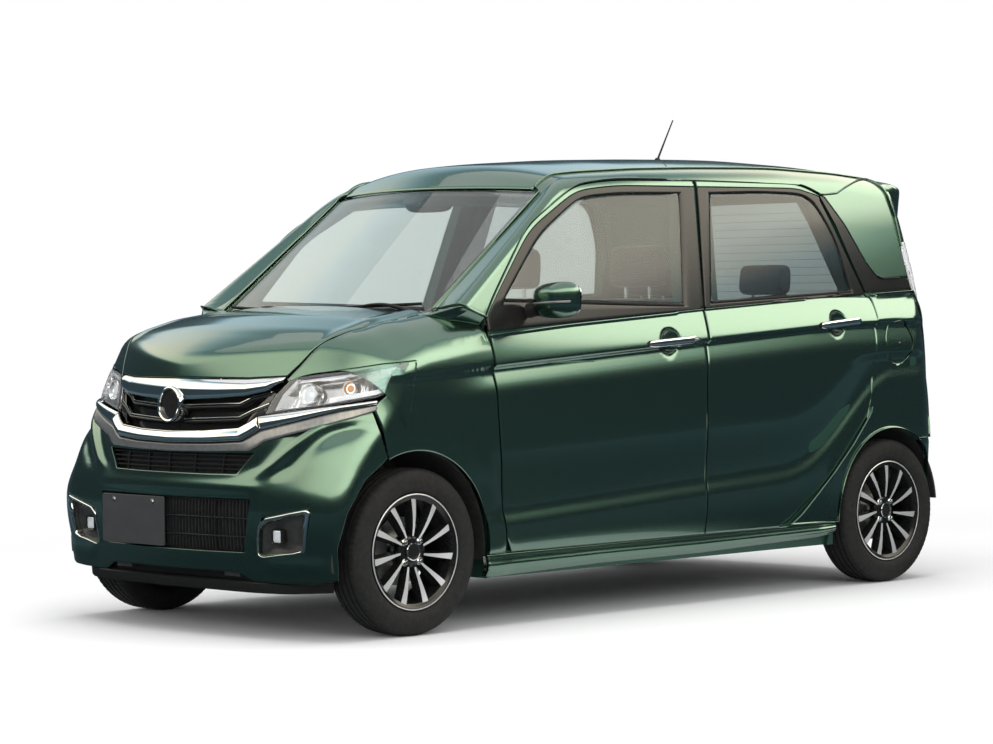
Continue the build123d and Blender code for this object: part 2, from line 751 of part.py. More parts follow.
# ---------------------------------------------------------------- wheelhouse liners
liners = []
for arch_y, radius, foot_z in ((front_arch_y, front_arch_radius, 230), (rear_arch_y, rear_arch_radius, 310)):
    outer = rod((arch_inner_x - liner_wall, arch_y, arch_z), (700, arch_y, arch_z), radius + liner_wall)
    inner = rod((arch_inner_x, arch_y, arch_z), (700, arch_y, arch_z), radius)
    liner = cut_from(outer, inner, block((0, 900), (-1800, 1800), (-200, foot_z)))
    liners += [liner, other_side(liner)]
# the strut's tower over each front liner, a thin tube closed by a cap, centred outboard of the strut's top
tower_x, tower_top_z = 480.0, 838.0
tower_radius, tower_wall, tower_offset = 102.0, 6.0, 20.0
tower_foot = (tower_x + tower_offset, front_axle_y, 540)
tower_top = (tower_x + tower_offset, front_axle_y, tower_top_z)
tower = rod(tower_foot, tower_top, tower_radius, tower_radius - tower_wall)
tower_cut = rod(tower_foot, tower_top, tower_radius - tower_wall)
tower_cap = rod((*tower_foot[:2], tower_top_z - 8), tower_top, tower_radius - 4)
front_liner = cut_from(joined(liners[0], cut_from(tower, rod((300, front_arch_y, arch_z), (700, front_arch_y, arch_z),
    front_arch_radius))), tower_cut)
front_liner = joined(front_liner, tower_cap)
write(joined(front_liner, other_side(front_liner), *liners[2:]), "wheelhouse_liners")

# ---------------------------------------------------------------- wheels
wheel_x = track / 2
rim_half_width = 68.0
with BuildPart() as rim:
    with BuildSketch(Plane.XY):
        with BuildLine():
            Polyline((-rim_half_width, 170), (-rim_half_width, 194), (-62, 194), (-56, 178), (56, 178), (62, 194),
                (rim_half_width, 194), (rim_half_width, 186), (56, 170), (40, 164), (-40, 164), (-58, 170), close=True)
        make_face()
    revolve(axis=Axis.X)
    with BuildSketch(Plane.YZ.offset(10)):
        Circle(50)
        Circle(17.5, mode=Mode.SUBTRACT)
    extrude(amount=42)
    with BuildSketch(Plane.YZ.offset(30)):
        with PolarLocations(0, 11):
            with Locations((108, 0)):
                Rectangle(122, 16)
    extrude(amount=20)
    with BuildSketch(Plane.YZ.offset(52)):
        Circle(30)
    extrude(amount=8)
    with BuildSketch(Plane.YZ.offset(-32)):
        Circle(115)
        Circle(17.5, mode=Mode.SUBTRACT)
    extrude(amount=20)
    with BuildSketch(Plane.YZ.offset(-32)):
        Circle(46)
        Circle(17.5, mode=Mode.SUBTRACT)
    extrude(amount=44)
with BuildPart() as tyre:
    with BuildSketch(Plane.XY):
        with BuildLine():
            FilletPolyline((-54, 178.4), (-60.5, 195.5), (-72, 203), (-78.2, 230), (-71, 267), (-54, tyre_radius),
                (54, tyre_radius), (71, 267), (78.2, 230), (72, 203), (60.5, 195.5), (54, 178.4),
                radius=[1, 3, 8, 24, 12, 12, 12, 12, 24, 8, 3, 1], close=True)
        make_face()
    revolve(axis=Axis.X)
for corner, (sign, axle_y) in {"front_left": (1, front_axle_y), "front_right": (-1, front_axle_y),
        "rear_left": (1, rear_axle_y), "rear_right": (-1, rear_axle_y)}.items():
    for kind, piece in (("rim", rim.part), ("tyre", tyre.part)):
        placed = Pos(wheel_x, axle_y, tyre_radius) * piece
        write(placed if sign > 0 else other_side(placed), f"{kind}_{corner}")

# ---------------------------------------------------------------- front suspension
kingpin_foot = Vector(604, front_axle_y, 190)
kingpin_top = Vector(tower_x, front_axle_y, tower_top_z)


def on_kingpin(z):
    """The point of the steering axis at a height."""
    share = (z - kingpin_foot.Z) / (kingpin_top.Z - kingpin_foot.Z)
    return tuple(kingpin_foot + (kingpin_top - kingpin_foot) * share)


with BuildPart() as knuckle:
    add(rod((560, front_axle_y, tyre_radius), (655, front_axle_y, tyre_radius), 17))
    add(rod((575, front_axle_y, tyre_radius), (612, front_axle_y, tyre_radius), 42))
    add(block((560, 612), (front_axle_y - 26, front_axle_y + 26), (222, 400)))
    add(rod(on_kingpin(380), on_kingpin(tower_top_z - 16), 12))
    add(rod(on_kingpin(372), on_kingpin(600), 20))
    add(rod(on_kingpin(600), on_kingpin(608), 56))
    for turn in range(6):
        add(rod(on_kingpin(618 + turn * 28), on_kingpin(632 + turn * 28), 50))
    add(rod(on_kingpin(600), on_kingpin(790), 34))
    add(block((600, 655), (front_axle_y - 130, front_axle_y - 70), (262, 340)))
    add(rod((616, front_axle_y, tyre_radius), (645, front_axle_y, tyre_radius), 120), mode=Mode.SUBTRACT)
    add(rod((560, front_axle_y, tyre_radius), (655, front_axle_y, tyre_radius), 17))
    add(block((590, 612), (front_axle_y - 80, front_axle_y - 20), (270, 320)))
write(knuckle.part, "knuckle_left")
write(other_side(knuckle.part), "knuckle_right")
with BuildPart() as arm:
    with BuildSketch(Plane.XY.offset(176)):
        with BuildLine():
            FilletPolyline((300, -1290), (470, -1232), (604, -1223), (604, -1198), (470, -1188), (300, -1060), radius=10,
                close=True)
        make_face()
    extrude(amount=22)
    with Locations((602, front_axle_y, 203)):
        Sphere(12)
with BuildPart() as subframe:
    add(block((-330, 330), (-1300, -1050), (172, 205)))
    add(block((-330, -250), (-1640, -856), (205, 250)))
    add(block((250, 330), (-1640, -856), (205, 250)))
    add(arm.part)
    add(other_side(arm.part))
write(subframe.part, "front_subframe")

# ---------------------------------------------------------------- rear axle, engine, tank, exhaust
with BuildPart() as rear_axle:
    add(block((-480, 480), (1130, 1210), (236, 300)))
    for sign in (-1, 1):
        add(block((sign * 465 - 25, sign * 465 + 25), (880, 1330), (236, 290)))
        x_range = sorted((sign * 465, sign * 562))
        add(block(x_range, (1270, 1350), (236, 320)))
        add(rod((sign * 545, rear_axle_y, tyre_radius), (sign * 655, rear_axle_y, tyre_radius), 17))
        add(rod((sign * 560, rear_axle_y, tyre_radius), (sign * 566, rear_axle_y, tyre_radius), 110))
        add(rod((sign * 475, 1180, 285), (sign * 475, 1180, 545), 50))
write(rear_axle.part, "rear_axle")
write(block((-330, 330), (-1450, -960), (262, 760)), "engine")
write(block((-330, 330), (-300, 330), (168, floor_top_z - floor_thickness)), "fuel_tank")
with BuildPart() as exhaust:
    add(rod((120, -950, 205), (120, -330, 205), 24))
    add(rod((200, 400, 205), (200, 1400, 205), 24))
    add(block((100, 380), (1380, 1540), (180, 240)))
write(exhaust.part, "exhaust")

# ---------------------------------------------------------------- interior
steering_centre = Vector(-330, -440, 900)
steering_axis = Vector(0, 0.86, 0.5)
# side view of the dashboard: y, z, radius
dashboard_side = [(-830, 690, 10), (-830, 985, 20), (-780, 1022, 60), (-680, 1030, 60), (-612, 1000, 40), (-585, 930, 40),
    (-604, 800, 30), (-650, 690, 10)]
with BuildPart() as dashboard:
    add(prism(Plane.YZ.offset(-598), dashboard_side, 1196))
    with BuildSketch(Plane.YZ.offset(-460)):
        with BuildLine():
            FilletPolyline((-720, 1000), (-700, 1064), (-640, 1066), (-590, 1010), radius=12, close=True)
        make_face()
    extrude(amount=260)
    add(block((-110, 110), (-640, -560), (560, 940)))
    add(rod(tuple(steering_centre - steering_axis * 24), tuple(steering_centre - steering_axis * 210), 26))
write(dashboard.part, "dashboard")
# side views of the seats: y, z, radius
front_cushion_side = [(-270, 400, 30), (-278, 530, 40), (-200, 562, 60), (150, 530, 80), (212, 560, 20), (240, 420, 40)]
front_back_side = [(170, 540, 20), (300, 470, 50), (338, 900, 200), (344, 1110, 30), (272, 1118, 40), (212, 820, 200)]
seats = []
for x in (-330, 330):
    seats.append(prism(Plane.YZ.offset(x - 245), front_cushion_side, 490))
    seats.append(prism(Plane.YZ.offset(x - 235), front_back_side, 470))
    seats.append(prism(Plane.YZ.offset(x - 125), [(266, 1160, 20), (330, 1150, 20), (338, 1310, 30), (282, 1315, 30)], 250))
    for post in (-60, 60):
        seats.append(rod((x + post, 300, 1090), (x + post, 300, 1180), 7))
    seats.append(block((x - 200, x + 200), (-220, 200), (floor_top_z, 430)))
write(joined(*seats), "front_seats")
rear_seats = []
for x in (-300, 300):
    rear_seats.append(prism(Plane.YZ.offset(x - 292), [(560, rear_floor_z, 10), (552, 540, 40), (620, 572, 60), (980, 552, 30),
        (985, rear_floor_z, 10)], 584))
    rear_seats.append(prism(Plane.YZ.offset(x - 288), [(950, 540, 20), (1090, 540, 20), (1112, 1080, 40), (1030, 1092, 40)], 576))
    rear_seats.append(prism(Plane.YZ.offset(x - 115), [(1036, 1128, 20), (1096, 1120, 20), (1102, 1240, 26), (1050, 1245, 26)],
        230))
    for post in (-60, 60):
        rear_seats.append(rod((x + post, 1068, 1060), (x + post, 1068, 1150), 7))
write(joined(*rear_seats), "rear_seat")
steering_plane = Plane(origin=steering_centre, x_dir=(1, 0, 0), z_dir=steering_axis)
with BuildPart() as steering_wheel:
    with BuildSketch(Plane(origin=steering_centre + steering_plane.x_dir * 175, x_dir=steering_plane.z_dir,
            z_dir=steering_plane.y_dir)):
        Circle(14)
    revolve(axis=Axis(steering_centre, steering_axis))
    with BuildSketch(steering_plane.offset(-12)):
        Rectangle(350, 30)
        Circle(50)
        Rectangle(30, 175, align=(Align.CENTER, Align.MAX))
    extrude(amount=20)
write(steering_wheel.part, "steering_wheel")

# ---------------------------------------------------------------- sills
sill_skirt = cut_from(layer(wall[0], sides(14), block((600, 900), (-858, 958), (underside_z, 238))), rear_arch)
write(joined(sill_skirt, other_side(sill_skirt)), "sill_garnishes")
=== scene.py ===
import bmesh
import bpy
import json
import math
import numpy as np
from mathutils import Matrix

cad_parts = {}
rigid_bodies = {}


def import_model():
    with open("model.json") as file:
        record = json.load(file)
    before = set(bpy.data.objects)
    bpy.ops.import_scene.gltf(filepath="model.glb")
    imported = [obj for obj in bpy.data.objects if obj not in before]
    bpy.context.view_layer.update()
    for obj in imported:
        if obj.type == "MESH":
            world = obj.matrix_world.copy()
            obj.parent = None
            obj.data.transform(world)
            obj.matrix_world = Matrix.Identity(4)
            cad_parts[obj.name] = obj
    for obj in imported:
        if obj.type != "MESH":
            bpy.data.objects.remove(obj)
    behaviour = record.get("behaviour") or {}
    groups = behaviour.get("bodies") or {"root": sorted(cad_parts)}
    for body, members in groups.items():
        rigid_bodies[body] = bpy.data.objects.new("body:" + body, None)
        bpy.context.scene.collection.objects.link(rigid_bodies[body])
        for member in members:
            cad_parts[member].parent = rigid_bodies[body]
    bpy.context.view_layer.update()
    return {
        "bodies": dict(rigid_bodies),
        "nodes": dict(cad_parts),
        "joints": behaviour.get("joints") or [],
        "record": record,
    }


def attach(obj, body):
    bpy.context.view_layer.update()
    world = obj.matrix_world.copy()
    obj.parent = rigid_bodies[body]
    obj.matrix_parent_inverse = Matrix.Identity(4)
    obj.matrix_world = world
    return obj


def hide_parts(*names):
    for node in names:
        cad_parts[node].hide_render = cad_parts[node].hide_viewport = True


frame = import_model()
print("frame loaded")

mm = 0.001

# ---------- body lines shared by every panel; all in mm, +X left, -Y front
lines = {
    "creaseHeight": 946.0,   # character line at y = 0, through the door handles
    "creaseRise": 0.0645,    # and how it climbs towards the tail
    "shoulder": 104.0,       # from the character line up to the belt
    "widest": 737.0,
    "creaseWidth": 731.0,
    "undercut": 24.0,        # height of the step under the character line
    "lean": 0.262,           # how the side leans out under it
    "leanFoot": 92.0,
    "glassWidth": 702.0,     # half width of the glasshouse at glassHeight
    "glassHeight": 1070.0,
    "tumble": 0.237,         # how the glasshouse leans in
    "frontAxle": -1210.5,
    "rearAxle": 1309.5,
    "archZ": 280.0,
    "frontArch": 338.0,
    "rearArch": 326.0,
    "frontArchY": -1216.5,
    "wheelX": 652.5,
    "wheelZ": 278.5,
}


def smoothStep(a, b, t):
    s = np.clip((t - a) / (b - a), 0, 1)
    return s * s * (3 - 2 * s)


def bump(t, centre, width):
    return np.exp(-((t - centre) / width) ** 2)


def creaseAt(y):
    return (lines["creaseHeight"] + lines["creaseRise"] * np.clip(y, -1300, 1500)
            - 26 * smoothStep(900, 1700, y))


def beltAt(y):
    return creaseAt(y) + lines["shoulder"] - 8 * smoothStep(-400, -900, y) - 12 * smoothStep(900, 1500, y)


# half width at a place along the car and a height. Above the belt a straight leaning side, from the belt to
# the character line a shoulder, under it a short step in and then a full side, and low down a wave that
# swells out again and climbs round the rear arch; each arch adds a flare that fades with the distance from
# its edge
def sideX(y, z):
    crease = creaseAt(y)
    belt = beltAt(y)
    glass = lines["glassWidth"] - lines["tumble"] * (z - lines["glassHeight"])
    glass = glass - 0.00018 * np.clip(z - 1380, 0, None) ** 2
    beltX = lines["glassWidth"] - lines["tumble"] * (belt - lines["glassHeight"]) - 5
    t = np.clip((belt - z) / (belt - crease), 0, 1)
    shoulder = beltX + (lines["creaseWidth"] + 5.0 - beltX) * (1 - (1 - t) ** 1.15)
    below = np.clip(crease - z, 0, None)
    # cut back under the line, then leaning out again down to leanFoot; the cut is shallow on the wing
    full = smoothStep(-1150, -840, y)
    lean = lines["lean"] * 9 * np.logaddexp(0, (lines["leanFoot"] - below) / 9)
    side = lines["widest"] - full * lean - (1 - full) * 7.5 * np.exp(-(below / 62) ** 1.3)
    under = smoothStep(0, lines["undercut"], below)
    side = (lines["creaseWidth"] + 5.0) * (1 - under) + side * under
    x = np.where(z > belt, glass, np.where(z > crease, shoulder, side))
    low = waveAt(y)
    tuck = (lines["widest"] - 13.5 * smoothStep(low + 250, low + 42, z)
            + 10.5 * smoothStep(low + 46, low - 14, z))
    tuck = tuck - 17 * smoothStep(low - 40, 175, z) ** 1.4
    x = np.minimum(x, tuck + 60 * smoothStep(crease - 150, crease - 50, z))
    for archY, radius, reach in ((lines["frontArchY"], lines["frontArch"], 120),
                                 (lines["rearAxle"], lines["rearArch"], 105)):
        r = np.hypot(y - archY, z - lines["archZ"]) - radius
        x = x + 9.0 * smoothStep(reach, reach * 0.35, r) * smoothStep(150, 320, z) * smoothStep(760, 620, z)
    # held softly under the greatest half width
    return lines["widest"] + 0.4 - np.logaddexp(0, (lines["widest"] + 0.4 - x) / 1.2) * 1.2


def waveAt(y):
    climb = 330 * smoothStep(600, 1330, y) ** 1.5
    return 352 + 0.055 * (y + 800) + climb


# a chain of points with rounded corners: the path follows each side and turns on an arc of the corner's
# radius
def roundedLine(points, close=False):
    pts = [np.array(p[:2], float) for p in points]
    radii = [p[2] if len(p) > 2 else 0.0 for p in points]
    out = []
    n = len(pts)
    for i in range(n):
        if not close and i in (0, n - 1) or radii[i] <= 0:
            out.append(pts[i])
            continue
        a = pts[i - 1] - pts[i]
        b = pts[(i + 1) % n] - pts[i]
        la, lb = np.hypot(*a), np.hypot(*b)
        a, b = a / la, b / lb
        angle = math.acos(float(np.clip(a @ b, -1, 1)))
        cut = min(radii[i] / max(math.tan(angle / 2), 1e-6), 0.48 * la, 0.48 * lb)
        r = cut * math.tan(angle / 2)
        turn = math.pi - angle
        if turn < 0.01:
            out.append(pts[i])
            continue
        mid = a + b
        mid = mid / np.hypot(*mid)
        centre = pts[i] + mid * r / math.sin(angle / 2)
        start = pts[i] + a * cut
        count = max(3, int(turn / 0.16) + 1)
        v0 = start - centre
        sign = 1.0 if a[0] * b[1] - a[1] * b[0] < 0 else -1.0
        for k in range(count + 1):
            t = sign * turn * k / count
            c, s = math.cos(t), math.sin(t)
            out.append(centre + np.array([v0[0] * c - v0[1] * s, v0[0] * s + v0[1] * c]))
    if close:
        out.append(out[0])
    return np.array(out)


# points evenly spaced along a chain, by its length
def along(chain, count):
    chain = np.asarray(chain, float)
    d = np.concatenate([[0], np.cumsum(np.linalg.norm(np.diff(chain, axis=0), axis=1))])
    t = np.linspace(0, 1, count) * d[-1]
    return np.stack([np.interp(t, d, chain[:, k]) for k in range(chain.shape[1])], axis=1)


# Coons patch: four boundary chains blended so that the grid meets all of them
def coons(bottom, top, front, rear, nu, nv):
    b, t = along(bottom, nu)[:, None], along(top, nu)[:, None]
    f, r = along(front, nv)[None], along(rear, nv)[None]
    u = np.linspace(0, 1, nu)[:, None, None]
    v = np.linspace(0, 1, nv)[None, :, None]
    corners = (1 - u) * (1 - v) * b[:1] + u * (1 - v) * b[-1:] + (1 - u) * v * t[:1] + u * v * t[-1:]
    return (1 - v) * b + v * t + (1 - u) * f + u * r - corners


def gridNormals(p):
    du = np.gradient(p, axis=0)
    dv = np.gradient(p, axis=1)
    n = np.cross(du, dv)
    return n / np.maximum(np.linalg.norm(n, axis=2, keepdims=True), 1e-9)


# adds a hem round a grid: two rings that turn inwards from its edge
def hemmed(p, depth=9.0, lip=1.2):
    n = gridNormals(p)
    e = np.pad(p, ((2, 2), (2, 2), (0, 0)), mode="edge")
    en = np.pad(n, ((2, 2), (2, 2), (0, 0)), mode="edge")
    rows, cols = e.shape[:2]
    i = np.minimum(np.arange(rows), np.arange(rows)[::-1])
    j = np.minimum(np.arange(cols), np.arange(cols)[::-1])
    ring = np.minimum(i[:, None], j[None, :])
    sink = np.where(ring == 0, depth, np.where(ring == 1, lip, 0.0))
    return e - en * sink[..., None]


materials = {}


def meshFrom(name, vertices, faces, material, smooth=True):
    mesh = bpy.data.meshes.new(name)
    mesh.from_pydata((np.asarray(vertices, float) * mm).tolist(), [],
                     faces.tolist() if hasattr(faces, "tolist") else faces)
    mesh.validate()
    obj = bpy.data.objects.new(name, mesh)
    bpy.context.scene.collection.objects.link(obj)
    if smooth:
        mesh.polygons.foreach_set("use_smooth", [True] * len(mesh.polygons))
    mesh.materials.append(materials[material])
    return obj


def gridFaces(nu, nv, closeU=False, closeV=False):
    iu = np.arange(nu if closeU else nu - 1)
    iv = np.arange(nv if closeV else nv - 1)
    a, b = np.meshgrid(iu, iv, indexing="ij")
    a, b = a.ravel(), b.ravel()
    a1, b1 = (a + 1) % nu, (b + 1) % nv
    return np.stack([a * nv + b, a1 * nv + b, a1 * nv + b1, a * nv + b1], axis=1)


def surface(name, p, material, closeU=False):
    return meshFrom(name, p.reshape(-1, 3), gridFaces(p.shape[0], p.shape[1], closeU), material)


def addModifier(obj, kind, **settings):
    modifier = obj.modifiers.new(kind.lower(), kind)
    for key, value in settings.items():
        setattr(modifier, key, value)
    return modifier


# a sheet metal or moulded skin: a grid with a hem, closed to a thin wall on its inner side
def panel(name, p, material, thickness=1.6, depth=9.0, lip=1.2):
    obj = surface(name, hemmed(p, depth, lip), material)
    addModifier(obj, "SOLIDIFY", thickness=thickness * mm, offset=-1, use_even_offset=False)
    return obj


def mirrored(p):
    return (p * np.array([-1.0, 1, 1]))[::-1]


# a panel on each side of the car; a body or node that exists once per side is named without its side
def bothSides(name, p, material, body, replaced=None, **options):
    made = []
    for side, grid in (("left", p), ("right", mirrored(p))):
        obj = panel(f"{name}_{side}", grid, material, **options)
        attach(obj, body if body == "body" else f"{body}_{side}")
        if replaced:
            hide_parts(replaced if replaced in bpy.data.objects else f"{replaced}_{side}")
        made.append(obj)
    return made


# ---------- materials
class Nodes:
    def __init__(self, name):
        self.material = bpy.data.materials.new(name)
        self.material.use_nodes = True
        self.tree = self.material.node_tree
        self.shader = self.tree.nodes["Principled BSDF"]
        self.coords = self.tree.nodes.new("ShaderNodeTexCoord")

    def add(self, kind, **settings):
        node = self.tree.nodes.new("ShaderNode" + kind)
        for key, value in settings.items():
            if key in node.inputs:
                node.inputs[key].default_value = value
            else:
                setattr(node, key, value)
        return node

    def link(self, a, b):
        self.tree.links.new(a, b)

    def noise(self, scale, detail=3.0, rough=0.5, stretch=(1, 1, 1), source="Object"):
        mapping = self.add("Mapping")
        mapping.inputs["Scale"].default_value = stretch
        self.link(self.coords.outputs[source], mapping.inputs["Vector"])
        noise = self.add("TexNoise")
        noise.inputs["Scale"].default_value = scale
        noise.inputs["Detail"].default_value = detail
        noise.inputs["Roughness"].default_value = rough
        self.link(mapping.outputs[0], noise.inputs["Vector"])
        return noise.outputs["Fac"]

    def ramp(self, fac, stops):
        ramp = self.add("ValToRGB")
        elements = ramp.color_ramp.elements
        while len(elements) < len(stops):
            elements.new(0.5)
        for element, (place, color) in zip(elements, stops):
            element.position = place
            element.color = (*color, 1) if len(color) == 3 else color
        self.link(fac, ramp.inputs["Fac"])
        return ramp.outputs["Color"]

    def bumpy(self, height, strength, distance=0.001):
        node = self.add("Bump")
        node.inputs["Strength"].default_value = strength
        node.inputs["Distance"].default_value = distance
        self.link(height, node.inputs["Height"])
        self.link(node.outputs["Normal"], self.shader.inputs["Normal"])

    def set(self, **values):
        for key, value in values.items():
            socket = self.shader.inputs[key.replace("_", " ")]
            socket.default_value = (*value, 1) if isinstance(value, tuple) and len(value) == 3 else value
        return self


def grey(v):
    return (v, v, v)


# two close tones mixed by a fine noise, a second noise for the roughness and a fine bump
def finish(key, dark, light, scale=60.0, roughness=(0.35, 0.5), bumpScale=900.0, bumpStrength=0.05, **values):
    n = Nodes(key)
    color = n.ramp(n.noise(scale, 4), [(0.3, dark), (0.7, light)])
    n.link(color, n.shader.inputs["Base Color"])
    rough = n.add("MapRange")
    rough.inputs["To Min"].default_value, rough.inputs["To Max"].default_value = roughness
    n.link(n.noise(scale * 0.23, 3), rough.inputs["Value"])
    n.link(rough.outputs[0], n.shader.inputs["Roughness"])
    if bumpStrength:
        n.bumpy(n.noise(bumpScale, 2), bumpStrength, 0.0004)
    n.set(**values)
    materials[key] = n.material
    return n


def makeMaterials():
    finish("paint", (0.06, 0.12, 0.095), (0.135, 0.235, 0.175), scale=2200.0, roughness=(0.2, 0.25),
           bumpScale=2600.0, bumpStrength=0.02, Metallic=0.98, Coat_Weight=1.0, Coat_Roughness=0.02)
    finish("jambPaint", (0.02, 0.07, 0.05), (0.03, 0.09, 0.065), scale=900.0, roughness=(0.35, 0.45),
           Metallic=0.5)
    finish("blackTrim", grey(0.008), grey(0.014), scale=300.0, roughness=(0.36, 0.5), bumpStrength=0.12,
           Specular_IOR_Level=0.25)
    finish("glossBlack", (0.012, 0.0115, 0.011), (0.017, 0.016, 0.015), scale=200.0, roughness=(0.12, 0.18),
           bumpStrength=0.0, Specular_IOR_Level=0.3)
    finish("rubber", grey(0.012), grey(0.02), scale=120.0, roughness=(0.6, 0.8), bumpStrength=0.2,
           Specular_IOR_Level=0.25)
    finish("tyreRubber", grey(0.011), grey(0.019), scale=60.0, roughness=(0.62, 0.8), bumpScale=700,
           bumpStrength=0.25, Specular_IOR_Level=0.2)
    finish("chrome", grey(0.78), grey(0.84), scale=30.0, roughness=(0.05, 0.09), bumpStrength=0.0,
           Metallic=1.0)
    finish("satinChrome", grey(0.5), grey(0.58), scale=40.0, roughness=(0.2, 0.28), Metallic=1.0)
    finish("machined", grey(0.66), grey(0.76), scale=260.0, roughness=(0.3, 0.42), bumpScale=1800,
           bumpStrength=0.1, Metallic=0.6)
    finish("rimBlack", grey(0.006), grey(0.012), scale=120.0, roughness=(0.16, 0.25), Specular_IOR_Level=0.3)
    finish("underbody", grey(0.018), grey(0.03), scale=40.0, roughness=(0.55, 0.75), bumpScale=260,
           bumpStrength=0.4)
    finish("castMetal", grey(0.22), grey(0.32), scale=50.0, roughness=(0.42, 0.6), bumpScale=400,
           bumpStrength=0.5, Metallic=0.9)
    finish("discSteel", grey(0.36), grey(0.5), scale=90.0, roughness=(0.28, 0.42), bumpScale=900,
           bumpStrength=0.2, Metallic=1.0)
    finish("trimPlastic", (0.018, 0.018, 0.02), (0.028, 0.028, 0.03), scale=90.0, roughness=(0.5, 0.65),
           bumpScale=1100, bumpStrength=0.4)
    finish("roofLining", (0.3, 0.3, 0.29), (0.36, 0.36, 0.35), scale=300.0, roughness=(0.8, 0.95),
           bumpScale=1600, bumpStrength=0.5)
    finish("seatCloth", (0.022, 0.022, 0.024), (0.05, 0.05, 0.053), scale=420.0, roughness=(0.8, 0.95),
           bumpScale=1300, bumpStrength=0.6, Sheen_Weight=0.4)
    finish("lampHousing", grey(0.55), grey(0.7), scale=20.0, roughness=(0.1, 0.2), bumpStrength=0.0,
           Metallic=1.0)
    finish("lampBlack", grey(0.02), grey(0.035), scale=60.0, roughness=(0.3, 0.4))
    finish("plate", (0.035, 0.036, 0.038), (0.042, 0.043, 0.045), scale=20.0, roughness=(0.4, 0.5))
    finish("amber", (0.75, 0.28, 0.02), (0.9, 0.38, 0.03), scale=300.0, roughness=(0.1, 0.2),
           Transmission_Weight=0.3)
    finish("redLens", (0.3, 0.01, 0.01), (0.4, 0.015, 0.012), scale=300.0, roughness=(0.06, 0.12),
           Transmission_Weight=0.25)
    for key, tint, rough in (("glass", (0.72, 0.78, 0.76), 0.0), ("privacyGlass", (0.42, 0.47, 0.46), 0.0),
                             ("lens", (0.97, 0.98, 0.98), 0.0)):
        n = Nodes(key)
        tone = n.ramp(n.noise(3.0, 2), [(0.3, tint), (0.7, tuple(min(1, c * 1.03) for c in tint))])
        n.link(tone, n.shader.inputs["Base Color"])
        n.set(Roughness=rough, Transmission_Weight=1.0, IOR=1.02 if key != "lens" else 1.12,
              Specular_IOR_Level=0.5, Coat_Weight=1.0, Coat_Roughness=0.0, Coat_IOR=1.45)
        materials[key] = n.material


makeMaterials()
print("materials made")


# ---------- camera, world, floor and lamps
view = {"azimuth": 45.121, "elevation": 1.45, "roll": -0.496, "place": (7927.4, -7925.75, 1093.39),
        "lens": 108.196, "shift": (-0.01701, 0.00818)}


def makeCamera():
    a, e, r = (math.radians(view[k]) for k in ("azimuth", "elevation", "roll"))
    back = np.array([math.sin(a) * math.cos(e), -math.cos(a) * math.cos(e), math.sin(e)])
    right = np.cross(-back, (0, 0, 1))
    right /= np.linalg.norm(right)
    up = np.cross(right, -back)
    turnedRight = right * math.cos(r) + up * math.sin(r)
    turnedUp = -right * math.sin(r) + up * math.cos(r)
    camera = bpy.data.cameras.new("camera")
    camera.sensor_width, camera.lens = 36.0, view["lens"]
    camera.shift_x, camera.shift_y = view["shift"]
    camera.clip_end = 100
    obj = bpy.data.objects.new("camera", camera)
    bpy.context.scene.collection.objects.link(obj)
    rows = np.eye(4)
    rows[:3, 0], rows[:3, 1], rows[:3, 2] = turnedRight, turnedUp, back
    rows[:3, 3] = np.array(view["place"]) * mm
    obj.matrix_world = Matrix(rows.tolist())
    bpy.context.scene.camera = obj


studio = {
    "sky": 0.7,
    "floor": (0.9, 0.9, 0.9),
    "floorSize": 60.0,
    "fade": (1.7, 4.2),               # metres from the middle, where the lit floor turns white
    "bowl": (8.0, 9.5),               # radius and height of what reflections see
    "mat": (0.04, 0.16),              # its floor's tone near the car and at the wall
    "horizon": 0.05,
    "band": 4.4,
    "bandEdges": (17.0, 21.0, 34.0, 48.0),   # degrees above the horizon where the bright band starts and ends
    "high": 0.2,
    "shadeTint": (0.66, 1.08, 1.32),
    "lightTint": (1.0, 0.93, 0.76),
}


def makeStudio():
    settings = bpy.context.scene.view_settings
    settings.view_transform, settings.look, settings.exposure, settings.gamma = "Standard", "None", 0.0, 1.0
    world = bpy.data.worlds.new("studio")
    bpy.context.scene.world = world
    world.use_nodes = True
    tree = world.node_tree
    background = tree.nodes["Background"]
    path = tree.nodes.new("ShaderNodeLightPath")
    seen = tree.nodes.new("ShaderNodeMath")
    seen.operation = "ADD"
    tree.links.new(path.outputs["Is Camera Ray"], seen.inputs[0])
    tree.links.new(path.outputs["Is Transmission Ray"], seen.inputs[1])
    also = tree.nodes.new("ShaderNodeMath")
    also.operation = "ADD"
    also.use_clamp = True
    tree.links.new(seen.outputs[0], also.inputs[0])
    tree.links.new(path.outputs["Is Glossy Ray"], also.inputs[1])
    strength = tree.nodes.new("ShaderNodeMapRange")
    strength.inputs["To Min"].default_value, strength.inputs["To Max"].default_value = studio["sky"], 1.0
    tree.links.new(also.outputs[0], strength.inputs["Value"])
    background.inputs["Color"].default_value = (1, 1, 1, 1)
    tree.links.new(strength.outputs[0], background.inputs["Strength"])
    floorAndSurround()


